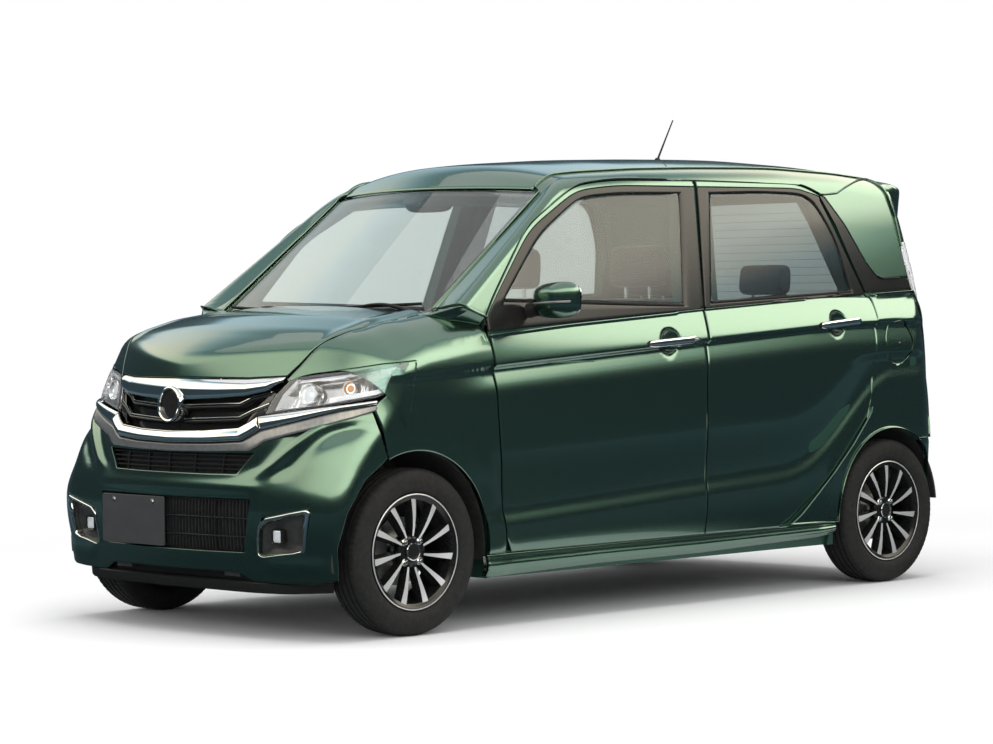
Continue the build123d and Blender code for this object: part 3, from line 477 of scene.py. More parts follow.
# the floor is lit and shadowed round the object and turns to plain white farther out
def floorAndSurround():
    size = studio["floorSize"] / 2
    mesh = bpy.data.meshes.new("floor")
    mesh.from_pydata([(-size, -size, 0), (size, -size, 0), (size, size, 0), (-size, size, 0)], [],
                     [(0, 1, 2, 3)])
    floor = bpy.data.objects.new("floor", mesh)
    bpy.context.scene.collection.objects.link(floor)
    n = finish("floor", tuple(c * 0.995 for c in studio["floor"]), studio["floor"], scale=2.0,
               roughness=(0.9, 0.98), bumpStrength=0.0)
    n.set(Specular_IOR_Level=0.0)
    glow = n.add("Emission", Strength=1.0)
    mix = n.add("MixShader")
    squeeze = n.add("Mapping")
    squeeze.inputs["Scale"].default_value = (1.0, 0.72, 1.0)
    n.link(n.coords.outputs["Object"], squeeze.inputs["Vector"])
    length = n.add("VectorMath", operation="LENGTH")
    n.link(squeeze.outputs[0], length.inputs[0])
    fade = n.add("MapRange", interpolation_type="SMOOTHSTEP")
    fade.inputs["From Min"].default_value, fade.inputs["From Max"].default_value = studio["fade"]
    n.link(length.outputs["Value"], fade.inputs["Value"])
    n.link(fade.outputs[0], mix.inputs["Fac"])
    n.link(n.shader.outputs[0], mix.inputs[1])
    n.link(glow.outputs[0], mix.inputs[2])
    n.link(mix.outputs[0], n.tree.nodes["Material Output"].inputs["Surface"])
    mesh.materials.append(materials["floor"])

    # what the paint and the chrome mirror: a bowl round the car, seen by reflections alone. Its tone goes by
    # height: a dark mat, a dark horizon, a bright band over it, then a softer sky
    a = np.linspace(0, 2 * math.pi, 97)[:-1]
    radius, top = studio["bowl"]
    profile = np.concatenate([np.stack([np.linspace(1.6, radius, 24), np.full(24, 0.004)], axis=1),
                              np.stack([np.full(60, radius), np.linspace(0.004, top, 60)], axis=1)[1:]])
    r, z = profile[None, :, 0], profile[None, :, 1]
    grid = np.stack(np.broadcast_arrays(r * np.cos(a)[:, None], r * np.sin(a)[:, None], z), axis=-1)
    rise = np.degrees(np.arctan2(z - 0.8, radius)) + 0 * a[:, None]
    leftRear = 0.5 + 0.5 * np.cos(a[:, None] - math.radians(45))
    horizon, band, edge = studio["horizon"], studio["band"], studio["bandEdges"]
    tone = np.interp(r, [1.6, radius], studio["mat"]) * np.ones_like(rise)
    behindRoof = 1 - 0.8 * bump(a[:, None], math.radians(140), math.radians(42))
    wallTone = (horizon + (band * (0.45 + 0.55 * leftRear) * behindRoof - horizon)
                * smoothStep(edge[0], edge[1], rise))
    wallTone = wallTone + (studio["high"] - wallTone) * smoothStep(edge[2], edge[3], rise)
    tone = np.where(z > 0.01, wallTone, tone)
    warm = smoothStep(0.2, 1.6, tone)[..., None]
    tint = np.array(studio["shadeTint"]) * (1 - warm) + np.array(studio["lightTint"]) * warm
    colors = np.concatenate([tone[..., None] * tint, np.ones_like(tone)[..., None]], axis=-1)
    bowlMesh = bpy.data.meshes.new("surround")
    bowlMesh.from_pydata(grid.reshape(-1, 3).tolist(), [], gridFaces(len(a), len(profile),
                                                                     closeU=True).tolist())
    attribute = bowlMesh.attributes.new("tone", "FLOAT_COLOR", "POINT")
    attribute.data.foreach_set("color", colors.reshape(-1))
    bowl = bpy.data.objects.new("surround", bowlMesh)
    bpy.context.scene.collection.objects.link(bowl)
    n = Nodes("surround")
    read = n.add("Attribute", attribute_name="tone")
    glow = n.add("Emission")
    n.link(read.outputs["Color"], glow.inputs["Color"])
    n.link(glow.outputs[0], n.tree.nodes["Material Output"].inputs["Surface"])
    bowlMesh.materials.append(n.material)
    for flag in ("camera", "diffuse", "transmission", "shadow", "volume_scatter"):
        setattr(bowl, "visible_" + flag, False)


def lamp(name, place, target, size, power):
    light = bpy.data.lights.new(name, "AREA")
    light.shape, light.size, light.size_y, light.energy = "RECTANGLE", size[0], size[1], power
    obj = bpy.data.objects.new(name, light)
    bpy.context.scene.collection.objects.link(obj)
    direction = np.array(place, float) - np.array(target, float)
    z = direction / np.linalg.norm(direction)
    x = np.cross((0, 0, 1) if abs(z[2]) < 0.99 else (0, 1, 0), z)
    x /= np.linalg.norm(x)
    rows = np.eye(4)
    rows[:3, 0], rows[:3, 1], rows[:3, 2], rows[:3, 3] = x, np.cross(z, x), z, place
    obj.matrix_world = Matrix(rows.tolist())
    obj.visible_camera = False
    obj.visible_glossy = False
    return obj


makeCamera()
makeStudio()
lamp("overhead", (0, 0, 6.0), (0, 0, 0), (5.0, 7.0), 260)
lamp("leftFill", (7.0, -2.0, 3.4), (0, 0, 0.7), (6.0, 3.0), 130)
lamp("frontFill", (1.5, -8.0, 3.0), (0, 0, 0.7), (5.0, 3.0), 110)
print("studio made")

# ---------- the nose: a front face y = -A(z) + D(x, z), a bonnet crown z = P(y) + crown, and the sides,
# blended
nose = {
    "faceZ": [165, 175, 290, 350, 461, 580, 690, 760, 870, 1100],
    "faceY": [1672, 1675, 1687, 1690, 1688, 1670, 1662, 1652, 1628, 1560],
    "sweepZ": [165, 175, 290, 350, 461, 615, 690, 760, 870, 1100],
    "sweep": [42, 42, 42, 36, 33, 49, 65, 80, 95, 125],
    "cornerZ": [165, 436, 500, 600, 700, 788, 870, 1100],
    "corner": [33, 33, 38, 60, 80, 85, 60, 60],
    "bonnetY": [-1640, -1570, -1560, -1533, -1489, -1444, -1354, -1215, -976, -700],
    "bonnetZ": [700, 832, 856, 893, 926, 957, 1004, 1041, 1075, 1100],
    "blend": 34.0,
}


def smoothed(table, values, at, width):
    offsets = np.linspace(-width, width, 7)
    return sum(np.interp(at + d, table, values) for d in offsets) / len(offsets)


def faceAt(x, z):
    ax = np.abs(x)
    sweep = smoothed(nose["sweepZ"], nose["sweep"], z, 40) * (ax / 400) ** 1.6
    corner = smoothed(nose["cornerZ"], nose["corner"], z, 40) * (np.clip(ax - 600, 0, None) / 115) ** 2
    return -smoothed(nose["faceZ"], nose["faceY"], z, 40) + sweep + corner


def bonnetAt(x, y):
    ax = np.abs(x)
    shift = 95 * (1 - np.clip(ax / 560, 0, 1.4) ** 1.8)
    crown = np.where(ax < 560, 22 * (1 - (ax / 560) ** 2), -110 * (np.clip(ax - 560, 0, None) / 170) ** 2.1)
    ridge = 5.5 * bump(ax, 505 - 0.05 * (y + 1000), 26) * smoothStep(-1540, -1380, y)
    return smoothed(nose["bonnetY"], nose["bonnetZ"], y + shift, 26) + crown + ridge


def smoothMax(a, b, k):
    h = np.clip(0.5 + 0.5 * (a - b) / k, 0, 1)
    return b + (a - b) * h + k * h * (1 - h)


# below zero inside the nose
def noseField(p):
    x, y, z = p[..., 0], p[..., 1], p[..., 2]
    k = nose["blend"]
    side = np.abs(x) - sideX(y, z)
    front = faceAt(x, z) - y
    top = z - bonnetAt(x, y)
    return smoothMax(smoothMax(front, top, k * 0.55), side, k)


# where rays from inside leave a field, by bisection over all rays at once
def cast(origin, direction, field=noseField, reach=1400.0):
    origin, direction = np.broadcast_arrays(np.asarray(origin, float), np.asarray(direction, float))
    near = np.zeros(origin.shape[:-1])
    farther = np.full(origin.shape[:-1], reach)
    for _ in range(30):
        middle = (near + farther) / 2
        inside = field(origin + direction * middle[..., None]) < 0
        near = np.where(inside, middle, near)
        farther = np.where(inside, farther, middle)
    return origin + direction * near[..., None]


def vec(x, y, z):
    return np.stack(np.broadcast_arrays(np.asarray(x, float), y, z), axis=-1)


def noseTop(xy):
    return cast(vec(xy[..., 0], xy[..., 1], 500.0), (0, 0, 1))


def noseFront(xz):
    return cast(vec(xz[..., 0], -1000.0, xz[..., 1]), (0, -1, 0))


def noseSide(yz):
    return cast(vec(250.0, yz[..., 0], yz[..., 1]), (1, 0, 0))


# rays fanned about a line along the car, for the fender, whose skin turns from upright to level
fan = {"x": 300.0, "z": 640.0}


def fanAngle(p):
    return np.arctan2(p[..., 2] - fan["z"], p[..., 0] - fan["x"])


def noseFan(ya):
    y, a = ya[..., 0], ya[..., 1]
    return cast(vec(fan["x"], y, fan["z"]), vec(np.cos(a), 0, np.sin(a)))


# rays fanned about an upright line, for the bumper and the lamps, which turn round the corner
def planAngle(p):
    return np.arctan2(p[..., 0], -1000 - p[..., 1])


def nosePlan(az):
    a, z = az[..., 0], az[..., 1]
    return cast(vec(0.0, -1000.0, z), vec(np.sin(a), -np.cos(a), 0))


nosePanels = {
    "gap": 2.2,
    "bonnetSide": [(0, -1090), (300, -1068), (566, -1004), (574, -1120), (566, -1250), (536, -1400),
                   (470, -1490), (432, -1529)],
    "bonnetFront": [(440, 864), (300, 856), (0, 857)],   # x, z
    "lampTop": [(729, -1204, 907), (640, -1380, 893), (560, -1455, 880), (430, -1530, 860)],
    "lampFoot": [(729, -1204, 907), (715, -1354, 788), (600, -1470, 762), (500, -1530, 752),
                 (393, -1573, 745)],
}


# rays fanned about a line across the car, for the bonnet, whose skin turns from the face to the crown
pitch = {"y": -1250.0, "z": 560.0, "scale": 420.0}


def toPitch(p):
    return np.stack([p[..., 0], np.arctan2(p[..., 2] - pitch["z"], pitch["y"] - p[..., 1]) * pitch["scale"]],
                    axis=-1)


def fromPitch(q):
    a = q[..., 1] / pitch["scale"]
    return cast(vec(q[..., 0], pitch["y"], pitch["z"]), vec(0, -np.cos(a), np.sin(a)))


def bonnetSkin():
    half = 60
    rear = noseTop(along(nosePanels["bonnetSide"][:3], half))
    rear = np.concatenate([rear[::-1] * (-1, 1, 1), rear[1:]])
    front = noseFront(along(nosePanels["bonnetFront"][::-1], half))
    side = noseTop(roundedLine([(x, y, 150) for x, y in nosePanels["bonnetSide"][2:-1]]))
    side = np.concatenate([side, along(np.stack([side[-1], front[-1]]), 6)[1:]])[::-1]
    front = np.concatenate([front[::-1] * (-1, 1, 1), front[1:]])
    grid = coons(toPitch(front), toPitch(rear), toPitch(side * (-1, 1, 1)), toPitch(side), 120, 90)
    panelObj = panel("skin_bonnet", fromPitch(grid), "paint", depth=5.0)
    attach(panelObj, "bonnet")
    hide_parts("bonnet")


def fenderSkin():
    foot = 250.0
    r = lines["frontArch"] - 4
    cy, cz = lines["frontArchY"], lines["archZ"]
    start = math.asin((foot - cz) / r)
    end = math.pi - math.asin((590 - cz) / r)
    a = np.linspace(start, end, 90)
    arch = np.stack([cy + r * np.cos(a), cz + r * np.sin(a)], axis=1)
    inner = noseSide(arch)
    door = np.array([(-808, foot), (-806, 300), (-816, 400), (-842, 750), (-861, 993), (-866, 1045)])
    outerA = noseSide(along(door, 60))
    bonnetLine = np.array([(x + 5, y) for x, y in nosePanels["bonnetSide"][2:]])
    onTop = noseTop(along(bonnetLine, 60))
    post = noseTop(along([(640, -868), (600, -960), (572, -1002)], 16))
    lampLine = np.array([(-1500, 866), (-1420, 889), (-1330, 905), (-1204, 914), (-1206, 900), (-1238, 863),
                         (-1314, 854), (-1334, 797), (-1356, 783), (-1384, 757)])
    lampEdge = noseSide(along(lampLine, 50))
    outer = np.concatenate([outerA, post, onTop, lampEdge[4:]])
    footLine = noseSide(along([(arch[0][0], foot), (-808, foot)], 12))
    splitLine = noseSide(along([arch[-1], (-1384, 757)], 20))
    flat = [np.stack([line[:, 1], fanAngle(line)], axis=1) * (1, 320)
            for line in (inner, outer, footLine, splitLine)]
    grid = coons(flat[0], flat[1], flat[2], flat[3], 180, 56) / (1, 320)
    bothSides("skin_fender", noseFan(grid)[::-1], "paint", "body", "fender", depth=2.5, lip=0.8)


# a patch given by a net of control places; each column of the net lists (x, z) on the front or ("s", y, z)
# on the side, and the places between are blended along rows and columns
def latticeAngles(columns):
    net = []
    for column in columns:
        row = []
        for place in column:
            point = (noseSide(np.array([place[1], place[2]], float)) if place[0] == "s"
                     else noseFront(np.array(place, float)))
            row.append((float(planAngle(point)), float(point[2])))
        net.append(row)
    return np.array(net)


def blendNet(net, cellsU, cellsV):
    nu, nv = net.shape[:2]
    u = np.concatenate([np.linspace(i, i + 1, cellsU[i], endpoint=False) for i in range(nu - 1)] + [[nu - 1]])
    v = np.concatenate([np.linspace(j, j + 1, cellsV[j], endpoint=False) for j in range(nv - 1)] + [[nv - 1]])
    i = np.minimum(u.astype(int), nu - 2)
    j = np.minimum(v.astype(int), nv - 2)
    fu, fv = (u - i)[:, None, None], (v - j)[None, :, None]
    a, b = net[i][:, j], net[i + 1][:, j]
    c, d = net[i][:, j + 1], net[i + 1][:, j + 1]
    return (1 - fu) * (1 - fv) * a + fu * (1 - fv) * b + (1 - fu) * fv * c + fu * fv * d


bumper = {
    # from the middle outwards: half way, intake edge, between, fog inner edge, fog outer edge, then the
    # wheel arch
    "columns": [
        [(0, 221), (0, 286), (0, 462), (0, 542), (0, 610), (0, 638)],
        [(180, 221), (200, 286), (220, 462), (180, 542), (220, 610), (220, 640)],
        [(335, 219), (364, 287), (398, 463), (322, 544), (384, 613), (372, 646)],
        [(392, 193), (404, 283), (428, 462), (400, 545), (412, 625), (420, 672)],
        [(440, 190), (430, 280), (446, 402), (446, 560), (450, 640), (470, 694)],
        [(560, 190), (524, 290), (560, 424), (560, 570), (570, 650), (585, 722)],
        [(640, 193), (616, 296), (651, 440), (655, 560), (660, 660), ("s", -1432, 742)],
        [("s", -1541, 205), ("s", -1552, 310), ("s", -1524, 425), ("s", -1448, 527), ("s", -1347, 594),
         ("s", -1388, 750)],
    ],
    "cellsU": [14, 14, 6, 4, 12, 10, 22],
    "cellsV": [10, 20, 12, 10, 8],
    # first and last column, first and last row of each opening
    "open": [(0, 2, 1, 2), (0, 2, 3, 4), (4, 6, 1, 2)],
    "wall": 2.2,
    "return": 26.0,
}


# the fold that runs from under the lamp down to the fog lamp, the scoop beside it, and the turned-in foot
def bumperShape(p):
    x, z = np.abs(p[..., 0]), p[..., 2]
    ahead = x - (596 + (z - 690) * 1.07)
    band = smoothStep(520, 575, z) * smoothStep(725, 690, z)
    push = 7.5 * np.exp(-(ahead / 30) ** 2) * band - 9.0 * np.exp(-((ahead - 62) / 46) ** 2) * band
    push = push - 7.0 * np.exp(-((ahead + 70) / 50) ** 2) * band
    lower = 6.0 * bump(z, 250, 26) * smoothStep(430, 500, x) * smoothStep(720, 640, x)
    shelf = 5.0 * bump(z, 500, 22) * smoothStep(470, 380, x)
    return push + lower + shelf


def bumperSkin():
    net = latticeAngles(bumper["columns"])
    flat = blendNet(net, bumper["cellsU"], bumper["cellsV"])
    p = nosePlan(flat)
    outward = gridNormals(p)
    outward = outward * np.sign(np.sum(outward * (p - np.array([0, -1000.0, 400])), axis=2, keepdims=True))
    p = p + outward * bumperShape(p)[..., None]
    p = np.minimum(p, np.array([2000, 2000, 2000.0]))
    p[..., 1] = np.maximum(p[..., 1], -1697.0)
    nu, nv = p.shape[:2]
    edgeU = np.concatenate([[0], np.cumsum(bumper["cellsU"])])
    edgeV = np.concatenate([[0], np.cumsum(bumper["cellsV"])])
    keep = np.ones((nu - 1, nv - 1), bool)
    for u0, u1, v0, v1 in bumper["open"]:
        keep[edgeU[u0]:edgeU[u1], edgeV[v0]:edgeV[v1]] = False
    full = np.concatenate([(p * (-1, 1, 1))[::-1], p[1:]])
    keepFull = np.concatenate([keep[::-1], keep])
    faces = gridFaces(full.shape[0], nv).reshape(full.shape[0] - 1, nv - 1, 4)[keepFull]
    # each open edge turns in towards the car's middle by the return's depth
    edges = np.concatenate([faces[:, [0, 1]], faces[:, [1, 2]], faces[:, [2, 3]], faces[:, [3, 0]]])
    key = np.sort(edges, axis=1)
    order, counts = np.unique(key, axis=0, return_counts=True)
    lone = {tuple(k) for k in order[counts == 1].tolist()}
    rim = np.array([e for e in edges.tolist() if tuple(sorted(e)) in lone])
    points = full.reshape(-1, 3)
    normals = np.concatenate([(outward * (-1, 1, 1))[::-1], outward[1:]]).reshape(-1, 3)
    used = np.unique(rim)
    lookup = np.full(len(points), -1)
    lookup[used] = np.arange(len(used)) + len(points)
    inner = points[used] - normals[used] * bumper["return"]
    walls = np.stack([rim[:, 1], rim[:, 0], lookup[rim[:, 0]], lookup[rim[:, 1]]], axis=1)
    obj = meshFrom("skin_front_bumper", np.concatenate([points, inner]), np.concatenate([faces, walls]),
                   "paint")
    flipIfInward(obj)
    bevelEdges(obj)
    addModifier(obj, "SOLIDIFY", thickness=bumper["wall"] * mm, offset=-1)
    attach(obj, "body")
    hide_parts("front_bumper")


# turns the mesh's faces round where they look towards its middle
def flipIfInward(obj, centre=(0, -1000, 500)):
    mesh = obj.data
    count = len(mesh.polygons)
    normals, centres = np.empty(count * 3), np.empty(count * 3)
    mesh.polygons.foreach_get("normal", normals)
    mesh.polygons.foreach_get("center", centres)
    out = np.sum(normals.reshape(-1, 3) * (centres.reshape(-1, 3) - np.array(centre) * mm))
    if out < 0:
        mesh.flip_normals()


def bevelEdges(obj, width=2.0, angle=50):
    addModifier(obj, "BEVEL", width=width * mm, segments=2, limit_method="ANGLE",
                angle_limit=math.radians(angle), harden_normals=False)


bonnetSkin()
fenderSkin()
bumperSkin()
print("bonnet, fenders and bumper made")

# ---------- side panels: chains of (y, z), each worked out on the body's side
sides = {"gap": 3.0, "doorFront": [(-857, 993, 0), (-838, 750, 900), (-812, 400, 900), (-803, 300, 60),
                                   (-776, 252, 0)], "doorSplit": [(226, 252, 0), (233, 442, 300),
                                                                  (232, 826, 900), (259, 1071, 0)],
         "doorRear": [(640, 250, 0), (909, 409, 500), (1185, 674, 260), (1266, 850, 160), (1262, 1000, 40),
                      (1240, 1110, 0)],}


def onSide(yz):
    return np.stack([sideX(yz[..., 0], yz[..., 1]), yz[..., 0], yz[..., 1]], axis=-1)


# the bowl behind a door handle: a round dent with a rolled rim
bowls = {"radius": 52.0, "depth": 17.0, "front": (40.0, 956.0), "rear": (996.0, 1012.0)}


def dented(p, place):
    y, z = bowls[place]
    r = np.hypot(p[..., 1] - y, p[..., 2] - z) / bowls["radius"]
    return p - np.array([1.0, 0, 0]) * (bowls["depth"] * smoothStep(1.0, 0.62, r))[..., None]


# rows of a skin bunched so that they run along the belt, the character line and the wave under it
def steered(grid):
    rows = np.linspace(0, 1, grid.shape[1])[None, :]
    y = grid[..., 0]
    foot, head = grid[:, :1, 1], grid[:, -1:, 1]
    marks = [(0.0, foot), (0.30, np.clip(waveAt(y) + 30, foot + 20, head - 320)), (0.66, creaseAt(y) - 40),
             (0.74, creaseAt(y)), (1.0, head)]
    z = np.zeros_like(y)
    for (a, low), (b, high) in zip(marks[:-1], marks[1:]):
        inside = (rows >= a) & (rows <= b)
        z = np.where(inside, low + (high - low) * np.clip((rows - a) / (b - a), 0, 1), z)
    y = np.stack([np.interp(z[k], grid[k, :, 1], y[k]) for k in range(len(z))])
    return np.stack([y, z], axis=-1)


def shiftY(chain, dy):
    out = np.array(chain, float)
    out[:, 0] += dy
    return out


def doorSkins():
    g = sides["gap"]
    front = shiftY(roundedLine(sides["doorFront"])[::-1], g)
    split = roundedLine(sides["doorSplit"])
    bottom = np.array([front[0], (224 - g, 256)])
    topY = np.linspace(front[-1][0], split[-1][0] - g, 30)
    top = np.stack([topY, beltAt(topY) - 3], axis=1)
    grid = steered(coons(bottom, top, front, shiftY(split, -g), 110, 90))
    bothSides("skin_door_front", dented(onSide(grid), "front"), "paint", "door_front")
    rear = roundedLine(sides["doorRear"])
    bottom = np.array([(229 + g, 256), (400, 253), (640 - g, 250)])
    topY = np.linspace(split[-1][0] + g, rear[-1][0] - g, 30)
    top = np.stack([topY, beltAt(topY) - 3], axis=1)
    grid = steered(coons(bottom, top, shiftY(split, g), shiftY(rear, -g), 110, 90))
    bothSides("skin_door_rear", dented(onSide(grid), "rear"), "paint", "door_rear")


doorSkins()
print("door skins made")


# ---------- the cabin: leaning sides, a crowned roof, a raked screen and a tail, blended like the nose
cabin = {
    "roofY": [-620, -560, -500, -440, -240, 75, 402, 700, 862, 1222, 1462, 1600],
    "roofZ": [1480, 1540, 1578, 1592, 1614, 1634, 1646, 1653, 1655, 1645, 1628, 1608],
    "crown": 52.0,           # how far the roof falls from its middle to |x| = 500
    "tailZ": [165, 300, 600, 700, 900, 1050, 1300, 1560, 1660],
    "tailY": [1680, 1694, 1697, 1692, 1668, 1645, 1600, 1553, 1520],
    "screenFoot": (-1072.0, 1062.0),
    "rake": 1.267,           # back per unit of height
    "blend": 46.0,
}


def roofAt(x, y):
    return smoothed(cabin["roofY"], cabin["roofZ"], y, 60) - cabin["crown"] * (np.abs(x) / 500) ** 2.3


def tailAt(x, z):
    ax = np.abs(x)
    return (smoothed(cabin["tailZ"], cabin["tailY"], z, 50) - 45 * (ax / 640) ** 2.2
            - 70 * (np.clip(ax - 600, 0, None) / 120) ** 2)


def screenAt(x, z):
    footY, footZ = cabin["screenFoot"]
    bow = 88 + 0.06 * (z - footZ)
    # past the glass the surface turns forward a little, so the pillar keeps a face of its own
    over = np.maximum(np.abs(x) - 545, 0)
    return footY + (z - footZ) * cabin["rake"] + bow * (np.minimum(np.abs(x), 545) / 560) ** 2 - 0.16 * over


def cabinField(p):
    x, y, z = p[..., 0], p[..., 1], p[..., 2]
    side = np.abs(x) - sideX(y, z)
    top = z - roofAt(x, y)
    tail = y - tailAt(x, z)
    screen = (screenAt(x, z) - y) * 0.62
    k = cabin["blend"]
    return smoothMax(smoothMax(smoothMax(side, top, k), tail, k), screen, k * 0.6)


def cabinSide(yz):
    return cast(vec(250.0, yz[..., 0], yz[..., 1]), (1, 0, 0), cabinField)


def cabinTop(xy):
    return cast(vec(xy[..., 0], xy[..., 1], 900.0), (0, 0, 1), cabinField)


def cabinTail(xz):
    return cast(vec(xz[..., 0], 700.0, xz[..., 1]), (0, 1, 0), cabinField)


cabinFan = {"x": 150.0, "z": 1000.0, "scale": 500.0}


def toFan(p):
    return np.stack([p[..., 1], np.arctan2(p[..., 2] - cabinFan["z"], p[..., 0] - cabinFan["x"])
                     * cabinFan["scale"]], axis=-1)


def fromFan(q):
    a = q[..., 1] / cabinFan["scale"]
    return cast(vec(cabinFan["x"], q[..., 0], cabinFan["z"]), vec(np.cos(a), 0, np.sin(a)), cabinField)


# Coons patch on the cabin, from four chains of points in space
def cabinPatch(bottom, top, front, rear, nu, nv):
    return fromFan(coons(toFan(bottom), toFan(top), toFan(front), toFan(rear), nu, nv))


# a chain with its corners worn down by repeated averaging of neighbours, its ends held
def softened(chain, passes=60):
    p = np.array(chain, float)
    for _ in range(passes):
        p[1:-1] = (p[:-2] + 2 * p[1:-1] + p[2:]) / 4
    return p


# the same chain shifted sideways by a distance at each point, to its right
def shifted(chain, distance):
    along_ = np.gradient(chain, axis=0)
    along_ /= np.linalg.norm(along_, axis=1, keepdims=True)
    return (chain + np.stack([along_[:, 1], -along_[:, 0]], axis=1)
            * np.broadcast_to(distance, (len(chain),))[:, None])


upper = {"doorLine": [(-866, 1052), (-840, 1092), (-588, 1368), (-311, 1516), (-90, 1540), (336, 1547),
                      (960, 1547), (1050, 1508)], "screenSide": [(560, -975), (552, -800), (541, -560),
                                                                 (536, -430)], "railX": 500.0,
         "roofRear": 1464.0, "blade": [(1052, 1508), (1076, 1500), (1167, 1391), (1254, 1247),
                                       (1300, 1196, 60), (1340, 1185)],}


# the line over the doors where their frames meet the rail
def doorLine():
    return softened(along(upper["doorLine"], 220))


def roofSkin():
    x = np.linspace(-upper["railX"] + 2, upper["railX"] - 2, 90)
    header = -500 + 88 * (np.abs(x) / 540) ** 2
    t = np.linspace(0, 1, 130)[None, :]
    y = header[:, None] + (upper["roofRear"] - header[:, None]) * t
    grid = np.stack(np.broadcast_arrays(x[:, None], y), axis=-1)
    obj = panel("skin_roof", cabinTop(grid), "paint", depth=10.0)
    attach(obj, "body")
    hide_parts("roof_panel")


def railSkin():
    inner = cabinSide(doorLine())
    screenEdge = along(upper["screenSide"], 60)
    screenEdge = np.stack([screenEdge[:, 0], screenEdge[:, 1], 1062 + (screenEdge[:, 1] + 972) / 1.32],
                          axis=1)
    screenEdge = cast(vec(screenEdge[:, 0], screenEdge[:, 1], 800.0), (0, 0, 1), cabinField)
    railY = np.linspace(-415, upper["roofRear"], 120)
    rail = cabinTop(np.stack([np.full_like(railY, upper["railX"] + 1), railY], axis=1))
    bend = cabinTop(np.array([(530, -424), (512, -418)], float))
    outer = np.concatenate([screenEdge, bend, rail])
    front = np.stack([inner[0], outer[0]])
    rear = along(cabinSide(np.array([(1050, 1508), (1076, 1506), (1161, 1514)], float)), 10)
    rear = np.concatenate([rear, along(np.stack([rear[-1], rail[-1]]), 30)[1:]])
    front = along(np.stack([inner[0], outer[0]]), 30)
    bothSides("skin_rail", cabinPatch(inner, outer, front, rear, 240, 34)[::-1], "paint", "body",
              "body_side")


# a copy of a solid's own mesh, its doubled points merged, whose outer side is sunk under the painted skins
def core(node, field, sink, material, body):
    source = bpy.data.objects[node]
    mesh = source.data.copy()
    mesh.transform(source.matrix_world)
    shape = bmesh.new()
    shape.from_mesh(mesh)
    bmesh.ops.remove_doubles(shape, verts=shape.verts, dist=0.00002)
    shape.to_mesh(mesh)
    shape.free()
    points = np.empty(len(mesh.vertices) * 3)
    mesh.vertices.foreach_get("co", points)
    p = points.reshape(-1, 3) / mm
    for _ in range(2):
        depth = -field(p)
        slope = np.stack([(field(p + d) - field(p - d)) / 2 for d in np.eye(3)], axis=1)
        slope /= np.maximum(np.linalg.norm(slope, axis=1, keepdims=True), 0.2)
        p = p - slope * np.clip(sink - depth, 0, None)[:, None]
    mesh.vertices.foreach_set("co", (p * mm).ravel())
    mesh.materials.clear()
    mesh.materials.append(materials[material])
    obj = bpy.data.objects.new(f"core_{node}", mesh)
    bpy.context.scene.collection.objects.link(obj)
    mesh.polygons.foreach_set("use_smooth", [False] * len(mesh.polygons))
    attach(obj, body)
    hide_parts(node)
    return obj


def wallField(p):
    return np.abs(p[..., 0]) - sideX(p[..., 1], p[..., 2])


for side in ("left", "right"):
    core(f"body_side_{side}", cabinField, 9.0, "jambPaint", "body")
    for place in ("front", "rear"):
        core(f"door_{place}_{side}", wallField, 12.0, "jambPaint", f"door_{place}_{side}")


quarter = {"garnishFront": [(1050, 1508), (1114, 1390), (1169, 1247), (1217, 1130)],
           "doorEdge": [(1248, 1099), (1264, 1000, 60), (1269, 900), (1250, 789, 260), (1188, 674, 260),
                        (1064, 544, 400), (914, 411, 500), (762, 291, 200), (706, 259)],
           "belt": [(1217, 1126), (1300, 1129), (1511, 1139)], "bladeFoot": [(1340, 1185), (1500, 1190)],
           "bladeBack": [(1500, 1190), (1490, 1250), (1484, 1430), (1462, 1530), (1440, 1572)],
           "lampEdge": [(1511, 1139), (1560, 1000), (1590, 880), (1612, 790), (1618, 640), (1600, 556)],
           "bumperTop": 556.0,}


def sidePoints(chain, count):
    return cabinSide(along(roundedLine(chain), count))


def bladeSkin():
    front = sidePoints(upper["blade"], 70)
    back = cast(vec(250.0, *np.moveaxis(along(roundedLine(quarter["bladeBack"]), 70), -1, 0)), (1, 0, 0),
                cabinField)
    foot = sidePoints(quarter["bladeFoot"], 24)
    front = front[::-1]
    railEnd = cabinTop(np.array([(upper["railX"] + 1, upper["roofRear"])], float))
    top = np.concatenate([sidePoints([(1052, 1508), (1076, 1506), (1161, 1514)], 12), railEnd])
    top = np.concatenate([along(top, 40), along(np.stack([railEnd[0], back[-1]]), 8)[1:]])
    grid = cabinPatch(foot, top, front, back, 60, 60)
    bothSides("skin_blade", grid, "paint", "body", "body_side")


def garnishSkin():
    front = sidePoints(quarter["garnishFront"], 60)[::-1]
    back = sidePoints([(1054, 1504), (1078, 1496), (1170, 1388), (1257, 1243), (1300, 1193, 60),
                       (1340, 1181), (1498, 1186)], 60)[::-1]
    foot = sidePoints(quarter["belt"], 50)
    low = along(np.stack([foot[-1], back[0]]), 6)
    back = np.concatenate([low, back[1:]])
    top = along(np.stack([front[-1], back[-1]]), 8)
    p = cabinPatch(foot, top, front, along(back, 66), 60, 66)
    bothSides("skin_garnish", p - np.array([2.0, 0, 0]), "glossBlack", "body", "body_side")


